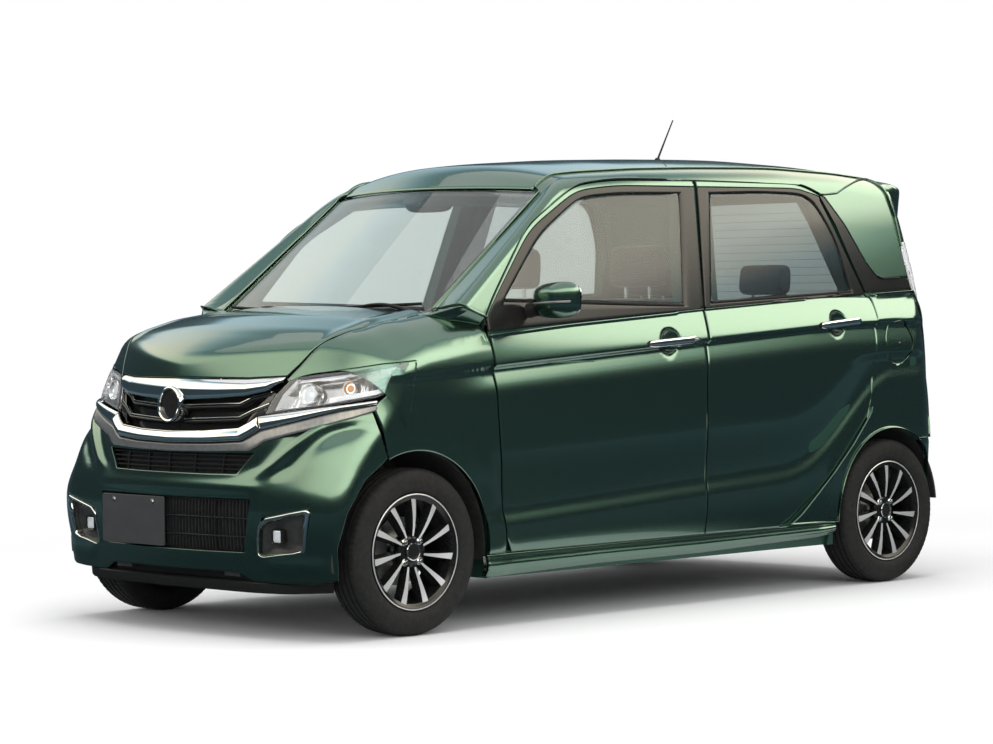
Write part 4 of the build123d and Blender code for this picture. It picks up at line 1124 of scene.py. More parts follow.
def quarterSkin():
    r = lines["rearArch"] - 4
    cy, cz = lines["rearAxle"], lines["archZ"]
    start = math.pi - math.asin((255 - cz) / r)
    end = math.asin((quarter["bumperTop"] - cz) / r)
    a = np.linspace(start, end, 90)
    arch = cabinSide(np.stack([cy + r * np.cos(a), cz + r * np.sin(a)], axis=1))
    door = sidePoints(quarter["doorEdge"][::-1], 120)
    belt = sidePoints([(1248, 1099), (1240, 1122), (1300, 1125), (1509, 1135)], 40)
    outer = np.concatenate([door, belt[1:]])
    tail = cast(vec(250.0, *np.moveaxis(along(roundedLine(quarter["lampEdge"]), 60), -1, 0)), (1, 0, 0),
                cabinField)
    front = along(np.stack([arch[0], door[0]]), 8)
    foot = along(np.stack([arch[-1], tail[-1]]), 40)
    # the tail's edge belongs to the outer chain, so that the strip ends at the bumper
    outer = np.concatenate([outer, tail[1:]])
    flat = [np.stack([c[:, 1], c[:, 2]], axis=1) for c in (arch, outer, front, foot)]
    grid = coons(flat[0], flat[1], flat[2], flat[3], 190, 52)
    bothSides("skin_quarter", cabinSide(grid)[::-1], "paint", "body", "body_side")


def sillSkin():
    y = np.linspace(-892, 985, 160)
    top = np.interp(y, [-892, 985], [247, 252])
    foot = np.interp(y, [-892, -867, -327, 202, 886, 985], [176, 172, 183, 184, 200, 212])
    t = np.linspace(0, 1, 36)[None, :]
    z = foot[:, None] + (top - foot)[:, None] * t
    x = (sideX(y[:, None], 262.0) - 2.0 + 4.5 * bump(t, 0.52, 0.16) - 9.0 * smoothStep(0.3, 0.0, t) ** 1.4
         - 3.0 * smoothStep(0.75, 1.0, t))
    grid = np.stack(np.broadcast_arrays(x, y[:, None], z), axis=-1)
    bothSides("skin_sill", grid, "paint", "body", "sill_garnishes", depth=22.0)


# whip on a low boot, behind the middle of the roof
def antennaFitting():
    boot = rodParts((0, 776, 1640), (0, 781, 1664), 21, 40, 9)
    whip = pathParts([(0, 779, 1658), (0, 825, 1738), (0, 871, 1817)], [4.5, 3.2, 2.6], 14)
    solid("antenna", [boot, whip], "blackTrim", "body", bevel=1.5)


# filler that carries the pillar down to the wing
def pillarFoot():
    low = noseTop(along([(684, -869), (650, -985), (592, -1050)], 30)) + np.array([0, 0, 1.0])
    ends = np.stack([cabinSide(doorLine())[0], cast(vec(560.0, -975.0, 800.0), (0, 0, 1), cabinField)])
    high = fromFan(along(toFan(ends), 30)) - np.array([0, 0, 1.5])
    t = np.linspace(0, 1, 12)[None, :, None]
    p = low[:, None] * (1 - t) + high[:, None] * t
    for side, sign in (("left", 1), ("right", -1)):
        obj = surface(f"pillar_foot_{side}", p * (sign, 1, 1), "paint")
        flipIfInward(obj, (0, -700, 600))
        addModifier(obj, "SOLIDIFY", thickness=1.6 * mm, offset=-1)
        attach(obj, "body")


roofSkin()
pillarFoot()
railSkin()
bladeSkin()
garnishSkin()
quarterSkin()
sillSkin()
print("roof, rails, quarters and sills made")


# ---------- helpers for small solid pieces
def tubeParts(loops):
    n, k = loops.shape[:2]
    caps = [list(range(k))[::-1], list(range((n - 1) * k, n * k))]
    return loops.reshape(-1, 3), gridFaces(n, k, closeV=True).tolist() + caps


def merged(parts):
    vertices, faces, base = [], [], 0
    for v, f in parts:
        vertices.append(v)
        faces += [[i + base for i in face] for face in (f.tolist() if hasattr(f, "tolist") else f)]
        base += len(v)
    return np.concatenate(vertices), faces


# one mesh from closed tubes, its faces turned outwards
def closedMesh(name, parts, material, smooth):
    vertices, faces = merged(parts)
    obj = meshFrom(name, vertices, faces, material, smooth)
    shape = bmesh.new()
    shape.from_mesh(obj.data)
    bmesh.ops.recalc_face_normals(shape, faces=shape.faces)
    shape.to_mesh(obj.data)
    shape.free()
    return obj


def solid(name, parts, material, body, replaced=None, smooth=True, bevel=0.0):
    obj = closedMesh(name, parts, material, smooth)
    if bevel:
        bevelEdges(obj, bevel, angle=35)
    if smooth:
        obj.data.set_sharp_from_angle(angle=math.radians(38))
    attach(obj, body)
    if replaced:
        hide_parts(replaced)
    return obj


# takes a closed tool's volume out of a piece and keeps the result as the piece's own mesh
def cutAway(obj, toolParts):
    tool = closedMesh("tool", toolParts, "paint", False)
    addModifier(obj, "BOOLEAN", operation="DIFFERENCE", solver="EXACT", object=tool)
    obj.data = bpy.data.meshes.new_from_object(obj.evaluated_get(bpy.context.evaluated_depsgraph_get()))
    obj.modifiers.clear()
    bpy.data.objects.remove(tool)


def boxParts(low, high):
    (x0, y0, z0), (x1, y1, z1) = low, high
    loop = np.array([[x0, y0], [x1, y0], [x1, y1], [x0, y1]])
    return tubeParts(np.stack([np.column_stack([loop, np.full(4, z)]) for z in (z0, z1)]))


# an outline swept between two offsets of itself: rings of points for each level
def ringSolid(levels):
    return tubeParts(np.stack(levels))


def rodParts(start, end, radius, count=20, endRadius=None):
    start, end = np.asarray(start, float), np.asarray(end, float)
    axis = (end - start) / np.linalg.norm(end - start)
    side = np.cross(axis, (0, 0, 1) if abs(axis[2]) < 0.9 else (1, 0, 0))
    side /= np.linalg.norm(side)
    other = np.cross(axis, side)
    t = np.linspace(0, 2 * math.pi, count, endpoint=False)[:, None]
    ring = np.cos(t) * side + np.sin(t) * other
    return tubeParts(np.stack([start + ring * radius, end + ring * (endRadius or radius)]))


# a round cable or bar along a path of points, with a radius at each
def pathParts(path, radius, count=12):
    path = np.asarray(path, float)
    radius = np.broadcast_to(np.asarray(radius, float), (len(path),))
    tangent = np.gradient(path, axis=0)
    tangent /= np.linalg.norm(tangent, axis=1, keepdims=True)
    ref = np.where(np.abs(tangent[:, 2:]) < 0.9, np.array([[0, 0, 1.0]]), np.array([[1.0, 0, 0]]))
    side = np.cross(tangent, ref)
    side /= np.linalg.norm(side, axis=1, keepdims=True)
    other = np.cross(tangent, side)
    t = np.linspace(0, 2 * math.pi, count, endpoint=False)[None, :, None]
    loops = path[:, None] + (np.cos(t) * side[:, None] + np.sin(t) * other[:, None]) * radius[:, None, None]
    return tubeParts(loops)


def onOtherSide(parts):
    return [(v * np.array([-1.0, 1, 1]), [list(f)[::-1] for f in (faces.tolist() if hasattr(faces, "tolist")
                                                                  else faces)]) for v, faces in parts]


def pair(name, parts, material, leftBody, rightBody, replaced=None, **options):
    for side, pieces, body in (("left", parts, leftBody), ("right", onOtherSide(parts), rightBody)):
        node = None
        if replaced:
            node = replaced if replaced in bpy.data.objects else f"{replaced}_{side}"
        solid(f"{name}_{side}", pieces, material, body, node, **options)


antennaFitting()


# ---------- wheels, in the wheel's own frame: x outwards from its middle plane, r from the axle
wheel = {"turns": 168, "spokes": 11, "rim": [(-67, 170), (-67, 192.5), (-62, 193.5), (-57, 179), (-30, 176),
                                             (30, 176), (56, 179), (61, 192), (64, 193.5), (67.2, 192),
                                             (66.5, 187), (62, 181), (57, 172.5), (44, 168), (20, 164),
                                             (-50, 165), (-60, 168)],
         "lip": [(63.5, 187.2), (67.6, 189.6), (67.9, 191.6), (66.8, 193.4), (63.5, 193.0)],
         "tyre": [(-57, 194.5), (-63, 197), (-71, 205), (-75.5, 216), (-77.6, 229), (-76.8, 243),
                  (-74.6, 254), (-71.5, 262), (-67, 269), (-60, 274.5), (-52, 276.9)],
         "grooves": [-37, -13, 13, 37],}


def spin(profile, turns=None, ripple=None):
    turns = turns or wheel["turns"]
    a = np.linspace(0, 2 * math.pi, turns, endpoint=False)[:, None]
    x = np.broadcast_to(profile[None, :, 0], (turns, len(profile)))
    r = np.broadcast_to(profile[None, :, 1], (turns, len(profile)))
    if ripple is not None:
        r = r + ripple(a, x, r)
    return np.stack([x, r * np.cos(a), r * np.sin(a)], axis=-1)


def placeWheel(points, sign, axleY):
    return points * np.array([sign, 1, 1]) + np.array([sign * lines["wheelX"], axleY, lines["wheelZ"]])


def spunParts(profile, ripple=None, turns=None):
    grid = spin(np.array(profile, float), turns, ripple)
    return grid.reshape(-1, 3), gridFaces(grid.shape[0], grid.shape[1], True, True)


def tyreProfile():
    side = along(np.array(wheel["tyre"], float), 24)
    tread = []
    edge = -52.0
    for g in wheel["grooves"]:
        tread += [(edge, None), (g - 4.6, None), (g - 3.6, -6.5), (g + 3.6, -6.5), (g + 4.6, None)]
        edge = g + 4.6
    tread.append((52.0, None))
    crown = [(x, 278.3 - (x / 52) ** 2 * 1.4 + (d or 0)) for x, d in tread[1:]]
    dense = [crown[0]]
    for a, b in zip(crown[:-1], crown[1:]):
        steps = max(1, int(abs(b[0] - a[0]) / 8))
        dense += [(a[0] + (b[0] - a[0]) * k / steps, a[1] + (b[1] - a[1]) * k / steps)
                  for k in range(1, steps + 1)]
    bead = [(57, 181), (30, 178.6), (-30, 178.6), (-57, 181)]
    return np.concatenate([side, dense[:-1], side[::-1] * (-1, 1), bead])


# cross cuts in the tread's ribs, staggered from rib to rib, and fine marks round the shoulder
def treadRipple(a, x, r):
    onTread = r > 275.2
    rib = np.floor((x + 60) / 25)
    cut = np.mod(a / (2 * math.pi) * 80 + rib * 0.37 + np.abs(x) * 0.012, 1.0)
    deep = np.where(np.abs(x) > 41, 3.2, 1.6)
    tread = np.where(onTread & (cut < 0.16), -deep, 0.0)
    shoulder = (r > 262) & (r <= 275.2)
    mark = np.where(shoulder & (np.mod(a / (2 * math.pi) * 80, 1.0) < 0.16), -1.4, 0.0)
    return tread + mark


def spokeParts():
    black, bright = [], []
    t = np.linspace(0, 1, 16)
    radius = 34 + (176 - 34) * t
    halfTop = 3.4 + 8.6 * t ** 1.25
    halfFoot = halfTop + 5.0 + 3.5 * t
    faceX = 47 + 13.5 * np.sin(t * math.pi * 0.62)
    footX = 24 + 6 * t
    swirl = np.radians(-5.0) * (1 - t) ** 1.6
    tilt = 2.6 * t
    for k in range(wheel["spokes"]):
        a0 = 2 * math.pi * k / wheel["spokes"] + math.pi / 2
        def at(u, x):
            a = a0 + swirl
            c, s = np.cos(a), np.sin(a)
            return np.stack([x, radius * c - u * s, radius * s + u * c], axis=1)
        body = np.stack([at(-halfTop, faceX - tilt), at(halfTop, faceX), at(halfTop + 1.0, faceX - 3),
                         at(halfFoot, footX), at(-halfFoot, footX), at(-halfTop - 1.0, faceX - tilt - 3)],
                        axis=1)
        black.append(tubeParts(body))
        keep = slice(2, 16)
        face = np.stack([at(-halfTop + 0.3, faceX - tilt - 1.0), at(halfTop - 0.3, faceX - 1.0),
                         at(halfTop - 0.9, faceX + 0.8), at(-halfTop + 0.9, faceX - tilt + 0.8)],
                        axis=1)[keep]
        bright.append(tubeParts(face))
    return black, bright


def nutParts(centre, axisX0, axisX1, radius):
    y, z = centre
    return rodParts((axisX0, y, z), (axisX1, y, z), radius, 6, radius * 0.8)


def makeWheels():
    tyre = spunParts(tyreProfile(), treadRipple, 320)
    barrel = spunParts(wheel["rim"])
    lip = spunParts(wheel["lip"])
    black, bright = spokeParts()
    hub = spunParts([(18, 16), (18, 52), (40, 56), (47, 50), (49, 42), (50, 30), (50, 16)], turns=96)
    cap = spunParts([(44, 0.4), (44, 29), (53, 29), (56.5, 26), (57.6, 18), (58, 0.4)], turns=64)
    capRing = spunParts([(52, 27.4), (55.6, 30.2), (57.6, 29), (58.2, 26.4), (55, 25.5)], turns=64)
    disc = spunParts([(-32, 30), (-32, 113), (-30, 115), (-14, 115), (-12, 113), (-12, 30)], turns=128)
    bell = spunParts([(-30, 20), (-30, 62), (12, 62), (18, 56), (18, 20)], turns=96)
    nuts = [nutParts((47 * math.cos(a), 47 * math.sin(a)), 42, 59, 9.2)
            for a in np.radians([45, 135, 225, 315])]
    seats = [rodParts((40, 47 * math.cos(a), 47 * math.sin(a)), (50.5, 47 * math.cos(a), 47 * math.sin(a)),
                      12.4, 24) for a in np.radians([45, 135, 225, 315])]
    for corner, sign, axleY in (("front_left", 1, lines["frontAxle"]),
                                ("front_right", -1, lines["frontAxle"]), ("rear_left", 1, lines["rearAxle"]),
                                ("rear_right", -1, lines["rearAxle"])):
        def put(parts):
            return [(placeWheel(v, sign, axleY), f) for v, f in parts]
        body = f"wheel_{corner}"
        solid(f"rubber_{corner}", put([tyre]), "tyreRubber", body, f"tyre_{corner}")
        solid(f"barrel_{corner}", put([barrel, hub] + black), "rimBlack", body, f"rim_{corner}")
        solid(f"spoke_faces_{corner}", put(bright), "machined", body)
        solid(f"lip_{corner}", put([lip]), "machined", body)
        solid(f"cap_{corner}", put([cap]), "glossBlack", body)
        solid(f"cap_ring_{corner}", put([capRing]), "chrome", body)
        solid(f"disc_{corner}", put([disc, bell]), "discSteel", body)
        solid(f"nuts_{corner}", put(nuts + seats), "chrome", body, bevel=1.0)


makeWheels()
print("wheels made")


# ---------- fittings of the nose. Chains hold places as in the bumper's net; v climbs, u runs outwards from
# the middle
def slopeOf(field, p):
    n = np.stack([field(p + d) - field(p - d) for d in np.eye(3)], axis=-1)
    return n / np.maximum(np.linalg.norm(n, axis=-1, keepdims=True), 1e-9)


def onPlan(chain):
    return latticeAngles([chain])[0] * (650.0, 1.0)


# patch on the nose between four chains, proud of it by a value or a grid
def nosePatch(bottom, top, nu, nv, proud=0.0, inner=None, outer=None):
    inner = inner or [bottom[0], top[0]]
    outer = outer or [bottom[-1], top[-1]]
    flat = coons(onPlan(bottom), onPlan(top), onPlan(inner), onPlan(outer), nu, nv) / (650.0, 1.0)
    p = nosePlan(flat)
    return p + slopeOf(noseField, p) * np.broadcast_to(np.asarray(proud, float), (nu, nv))[..., None]


def wholeWidth(p):
    return np.concatenate([(p * (-1.0, 1, 1))[::-1], p[1:]])


# how far each place of a grid is from the grid's nearest edge
def edgeDistance(nu, nv):
    u, v = np.linspace(0, 1, nu)[:, None], np.linspace(0, 1, nv)[None, :]
    return np.minimum(np.minimum(u, 1 - u), np.minimum(v, 1 - v))


# a profile of radii and heights turned about an axis
def lathe(name, centre, axis, profile, material, body, count=40):
    profile = np.array(profile, float)
    axis = np.asarray(axis, float)
    axis = axis / np.linalg.norm(axis)
    side = np.cross(axis, (0, 0, 1.0))
    side /= np.linalg.norm(side)
    other = np.cross(axis, side)
    a = np.linspace(0, 2 * math.pi, count, endpoint=False)
    ring = np.cos(a)[:, None] * side + np.sin(a)[:, None] * other
    p = (np.asarray(centre, float) + profile[:, 0][:, None, None] * ring[None]
         + profile[:, 1][:, None, None] * axis)
    return solid(name, [tubeParts(p)], material, body)


grille = {
    "barTop": [(0, 853), (170, 852), (304, 852), (436, 860)],
    "barFoot": [(0, 783), (86, 784), (200, 789), (310, 797), (384, 812), (430, 846)],
    "smileTop": [(0, 679), (160, 682), (308, 692), (345, 710), (373, 729)],
    "smileFoot": [(0, 639), (200, 643), (327, 651), (360, 668), (392, 687)],
    "wingTop": [(376, 731), (506, 748), (643, 768), (709, 784)],
    "wingFoot": [(395, 688), (517, 717), (647, 753), (711, 770)],
    "ribTop": [(0, 637), (200, 641), (327, 649), (360, 666), (392, 685), (517, 715), (647, 751), (711, 768)],
    "ribFoot": [(0, 613), (200, 615), (363, 620), (392, 634), (414, 650), (571, 690), (683, 729), (712, 750)],
    # slats: centre line and height
    "slats": [([(58, 759), (285, 768), (330, 790), (396, 806)], 13),
              ([(58, 712), (292, 722), (340, 746), (396, 768)], 14)],
    "emblem": (0.0, 767.0),
    "emblemRadius": 62.0,
}


def grilleFittings():
    v = np.linspace(0, 1, 22)[None, :]
    u = np.linspace(0, 1, 150)[:, None]
    # upper bar: a full round shoulder that rolls over at its top and turns under at its foot
    proud = (4 + 12 * np.sin(math.pi * np.clip(v, 0.03, 0.97)) ** 0.55 - 5 * v) * smoothStep(1.02, 0.9, u) + 2
    bar = nosePatch(grille["barFoot"], grille["barTop"], 150, 22, proud)
    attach(panel("chrome_bar", wholeWidth(bar), "chrome", depth=14, lip=0.8), "body")
    # lower bar: two facets that meet in a ridge a third of the way up
    proud = 3 + 13 * smoothStep(0, 0.12, v) - 9 * smoothStep(0.36, 1.0, v) - 2.5 * smoothStep(0.36, 0.1, v)
    smile = nosePatch(grille["smileFoot"], grille["smileTop"], 150, 22, proud)
    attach(panel("chrome_smile", wholeWidth(smile), "chrome", depth=14, lip=0.8), "body")
    proud = (5 + 6 * np.sin(math.pi * v) ** 0.7) * smoothStep(1.03, 0.97, u)
    wing = nosePatch(grille["wingFoot"], grille["wingTop"], 150, 22, proud)
    bothSides("chrome_wing", wing, "chrome", "body", depth=10, lip=0.8)
    # ribbed strip: fine upright teeth on a flat moulding
    nu = 900
    teeth = 1.1 * (np.mod(np.linspace(0, 180, nu), 1.0) < 0.55)[:, None]
    v = np.linspace(0, 1, 6)[None, :]
    strip = nosePatch(grille["ribFoot"], grille["ribTop"], nu, 6,
                      2 + teeth * smoothStep(0, 0.2, v) * smoothStep(1, 0.8, v))
    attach(panel("ribbed_strip", wholeWidth(strip), "stripGrey", depth=8, lip=0.6), "body")
    # backing, sunk behind the bars, then the slats
    back = nosePatch([(0, 668), (300, 676), (392, 706), (430, 735)],
                     [(0, 800), (226, 818), (384, 830), (452, 850)], 80, 30, -38)
    obj = panel("grille_back", wholeWidth(back), "glossBlack", depth=4)
    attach(obj, "body")
    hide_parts("upper_grille")
    for k, (line, height) in enumerate(grille["slats"]):
        low = [(x, z - height / 2) for x, z in line]
        high = [(x, z + height / 2) for x, z in line]
        v = np.linspace(0, 1, 12)[None, :]
        proud = -16 + 10 * np.sin(math.pi * v) ** 0.6
        slat = nosePatch(low, high, 90, 12, proud)
        bothSides(f"slat_{k}", slat, "darkChrome", "body", depth=16, lip=0.6)
        edgeLow = [(x, z + height / 2 + 0.5) for x, z in line]
        edgeHigh = [(x, z + height / 2 + 3.5) for x, z in line]
        edge = nosePatch(edgeLow, edgeHigh, 90, 5, -7.0)
        bothSides(f"slat_edge_{k}", edge, "chrome", "body", depth=5, lip=0.4)
    # angular end pieces between the slats' ends and the lamp
    endLow = [(318, 700), (345, 716), (380, 735), (396, 748)]
    endHigh = [(392, 812), (402, 816), (410, 812), (416, 806)]
    end = nosePatch(endLow, endHigh, 40, 40, -10 + 6 * edgeDistance(40, 40),
                    inner=[(318, 700), (345, 752), (392, 812)], outer=[(396, 748), (416, 806)])
    bothSides("grille_end", end, "darkChrome", "body", depth=18, lip=1)
    x, z = grille["emblem"]
    face = float(nosePlan(np.array([0.0, z]))[1])
    r = grille["emblemRadius"]
    lathe("emblem_ring", (x, face - 9, z), (0, -1, 0.08), [(r - 14, -30), (r, -30), (r, 6), (r - 2, 11),
                                                           (r - 6, 13), (r - 11, 11), (r - 13, 6),
                                                           (r - 14, 0)], "chrome", "body", 72)
    lathe("emblem_face", (x, face - 9, z), (0, -1, 0.08), [(0.3, -28), (r - 13.5, -28), (r - 13.5, 1),
                                                           (r - 20, 3.4), (0.3, 5)], "glossBlack", "body",
          72)


headlamp = {
    "foot": [(394, 738), (582, 766), (707, 794), ("s", -1341, 803), ("s", -1319, 860), ("s", -1246, 868)],
    "top": [(458, 857), (560, 872), (645, 884), ("s", -1330, 901), ("s", -1212, 909)],
    "inner": [(394, 738), (404, 770), (414, 800), (458, 857)],
    "outer": [("s", -1246, 868), ("s", -1228, 888), ("s", -1212, 909)],
    "projector": (522.0, 807.0),
    "amber": (645.0, 826.0),
}


def headlampFittings():
    nu, nv = 140, 48
    def patch(proud):
        return nosePatch(headlamp["foot"], headlamp["top"], nu, nv, proud, inner=headlamp["inner"],
                         outer=headlamp["outer"])
    d = edgeDistance(nu, nv)
    cover = patch(1.0 + 3.5 * smoothStep(0, 0.2, d))
    bothSides("lamp_cover", cover, "lens", "body", "headlamps", thickness=2.0, depth=8, lip=1.0)
    # the bowl: a dark rim that falls to a bright floor, stepped in fine upright flutes towards its outer end
    u = np.linspace(0, 1, nu)[:, None]
    floor = 42 * smoothStep(0.02, 0.16, d) * smoothStep(1.0, 0.72, u) + 9
    flutes = 3.0 * (np.mod(u * 34, 1.0) - 0.5) * smoothStep(0.42, 0.5, u) * smoothStep(0.14, 0.2, d)
    bowl = patch(-(floor + flutes))
    bothSides("lamp_bowl", bowl, "lampHousing", "body", thickness=1.2, depth=3, lip=0.3)
    # a dark frame round the inside of the cover
    ringIndex = d < 0.055
    frame = patch(-3.0)
    keep = (ringIndex[:-1, :-1] | ringIndex[1:, 1:])
    faces = gridFaces(nu, nv).reshape(nu - 1, nv - 1, 4)[keep]
    for sign, side in ((1, "left"), (-1, "right")):
        points = (frame * (sign, 1, 1)).reshape(-1, 3)
        obj = meshFrom(f"lamp_frame_{side}", points, faces if sign > 0 else faces[:, ::-1], "lampBlack")
        shape = bmesh.new()
        shape.from_mesh(obj.data)
        bmesh.ops.delete(shape, geom=[v for v in shape.verts if not v.link_faces], context="VERTS")
        shape.to_mesh(obj.data)
        shape.free()
        addModifier(obj, "SOLIDIFY", thickness=1.6 * mm, offset=-1)
        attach(obj, "body")
    # light guide along the foot, a bright brow along the top
    for name, v0, v1, material, sunk, u0, u1 in (("light_guide", 0.10, 0.24, "whiteGuide", 8.0, 0.40, 0.74),
                                                 ("lamp_brow", 0.80, 0.90, "lampHousing", 7.0, 0.10, 0.97),
                                                 ("lamp_tail", 0.42, 0.56, "whiteGuide", 6.0, 0.80, 0.97)):
        a, b = int(u0 * nu), int(u1 * nu)
        i, j = int(v0 * nv), int(v1 * nv)
        strip = patch(-sunk)[a:b, i:j + 1]
        bothSides(name, strip, material, "body", thickness=1.5, depth=9, lip=0.6)
    for side, sign in (("left", 1), ("right", -1)):
        for name, place, radius in (("projector", headlamp["projector"], 37.0),
                                    ("amber", headlamp["amber"], 25.0)):
            p = noseFront(np.array(place))
            n = slopeOf(noseField, p)
            n = (n + np.array([0.0, -1.0, 0.0])) / np.linalg.norm(n + np.array([0.0, -1.0, 0.0]))
            centre, axis = (p - n * 7) * (sign, 1, 1), n * (sign, 1, 1)
            lathe(f"{name}_ring_{side}", centre, axis, [(radius - 9, -40), (radius, -40), (radius, -4),
                                                        (radius - 2, 0), (radius - 4, -1),
                                                        (radius - 9, -12)], "chrome", "body", 56)
            if name == "projector":
                lathe(f"projector_eye_{side}", centre, axis,
                      [(0.3, -26)] + [((radius - 8) * math.sin(t), -26 + 20 * math.cos(t))
                                      for t in np.linspace(1.45, 0.02, 14)], "eyeGlass", "body", 56)
                lathe(f"projector_cup_{side}", centre, axis,
                      [(0.3, -40), (radius - 8.5, -40), (radius - 8.5, -27), (0.3, -27)], "lampBlack",
                      "body", 40)
            else:
                lathe(f"amber_bulb_{side}", centre, axis, [(0.3, -30), (13, -30), (14, -18), (12, -9),
                                                           (7, -4), (0.3, -2)], "amber", "body", 36)
                lathe(f"amber_cup_{side}", centre, axis, [(0.3, -40), (radius - 8.5, -40),
                                                          (radius - 8.5, -20), (14.5, -31), (0.3, -31)],
                      "lampHousing", "body", 40)


intake = {"plate": {"x": (-345.0, -6.0), "z": (292.0, 458.0), "y": -1689.0, "thick": 4.0},
          "bars": [(286, 3), (337, 4.5), (398, 4.5), (458, 3)],
          "fogOuter": [(440, 385), (468, 404), (560, 422), (651, 439), (636, 366), (619, 295), (530, 284),
                       (446, 273), (423, 279), (428, 332)], "fogLamp": (501.0, 344.0),}


# a bar of round-cornered section across the nose at one height, sunk below its surface
def crossBar(name, x0, x1, z, height, sunk, depth, material):
    x = np.linspace(x0, x1, 40)
    half = height / 2
    surfaceY = noseFront(np.stack([x, np.full_like(x, z)], axis=1))[:, 1] + sunk
    section = np.array([(0, -half + 0.6), (0.6, -half), (depth, -half), (depth, half), (0.6, half),
                        (0, half - 0.6)])
    loops = np.stack([np.stack([x, surfaceY + dy, np.full_like(x, z + dz)], axis=1) for dy, dz in section],
                     axis=1)
    return solid(name, [tubeParts(loops)], material, "body", smooth=False)


def uprightBar(x, z0, z1, width, sunk, depth):
    z = np.linspace(z0, z1, 12)
    y = noseFront(np.stack([np.full_like(z, x), z], axis=1))[:, 1] + sunk
    half = width / 2
    section = np.array([(-half, 0), (half, 0), (half, depth), (-half, depth)])
    loops = np.stack([np.stack([np.full_like(z, x + dx), y + dy, z], axis=1) for dx, dy in section], axis=1)
    return [tubeParts(loops)]


def intakeFittings():
    back = nosePatch([(0, 278), (200, 279), (385, 280)], [(0, 468), (220, 468), (410, 468)], 60, 20, -34)
    obj = panel("intake_back", wholeWidth(back), "lampBlack", depth=4)
    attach(obj, "body")
    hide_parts("lower_grilles")
    fine = []
    for x in np.arange(-384, 385, 16.0):
        fine += uprightBar(x, 290, 456, 2.4, 20, 10)
    solid("intake_ribs", fine, "lampBlack", "body", smooth=False)
    for k, (z, height) in enumerate(intake["bars"]):
        reach = 362 + (z - 286) * 0.19
        crossBar(f"intake_bar_{k}", -reach, reach, z, height, 7, 12,
                 "darkChrome" if k in (1, 2) else "blackTrim")
    solid("intake_divider", uprightBar(232, 288, 457, 7, 9, 12), "blackTrim", "body", smooth=False)
    plate = intake["plate"]
    (x0, x1), (z0, z1), y, t = plate["x"], plate["z"], plate["y"], plate["thick"]
    corner = roundedLine([(x0, z0, 8), (x1, z0, 8), (x1, z1, 8), (x0, z1, 8)], close=True)[:-1]
    levels = [np.column_stack([corner[:, 0], np.full(len(corner), y + d), corner[:, 1]]) for d in (t, 0)]
    inset = (corner - corner.mean(0)) * (0.994, 0.988) + corner.mean(0)
    levels.append(np.column_stack([inset[:, 0], np.full(len(corner), y - 1.0), inset[:, 1]]))
    solid("front_plate", [ringSolid(levels)], "plate", "body", bevel=0.6)
    carrier = [boxParts((x0 + 20, y + t, z0 + 30), (x1 - 20, y + t + 18, z1 - 30))]
    solid("plate_carrier", carrier, "blackTrim", "body", bevel=3.0)
    bolts = []
    for dx in (-105, 105):
        x = (x0 + x1) / 2 + dx
        bolts.append(rodParts((x, y - 4.5, 438), (x, y + 2, 438), 8, 6))
        bolts.append(rodParts((x, y - 1.6, 438), (x, y + 2, 438), 11, 24))
    solid("front_plate_bolts", bolts, "satinChrome", "body", bevel=0.8)
    # the small intake: louvres between two sloping ends
    back = nosePatch([(0, 534), (200, 535), (330, 540)], [(0, 622), (220, 622), (394, 626)], 60, 12, -36)
    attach(panel("small_intake_back", wholeWidth(back), "lampBlack", depth=4), "body")
    for k, z in enumerate((557, 572, 587, 602)):
        reach = 330 + (z - 545) * 0.85
        crossBar(f"small_bar_{k}", -reach, reach, z, 4.5, 12, 14, "blackTrim")
    uprights = []
    for x in (-260, -130, -10, 120, 250):
        uprights += uprightBar(x, 543, 616, 5, 10, 12)
    solid("small_uprights", uprights, "blackTrim", "body", smooth=False)
    fogFittings()
    lipFitting()


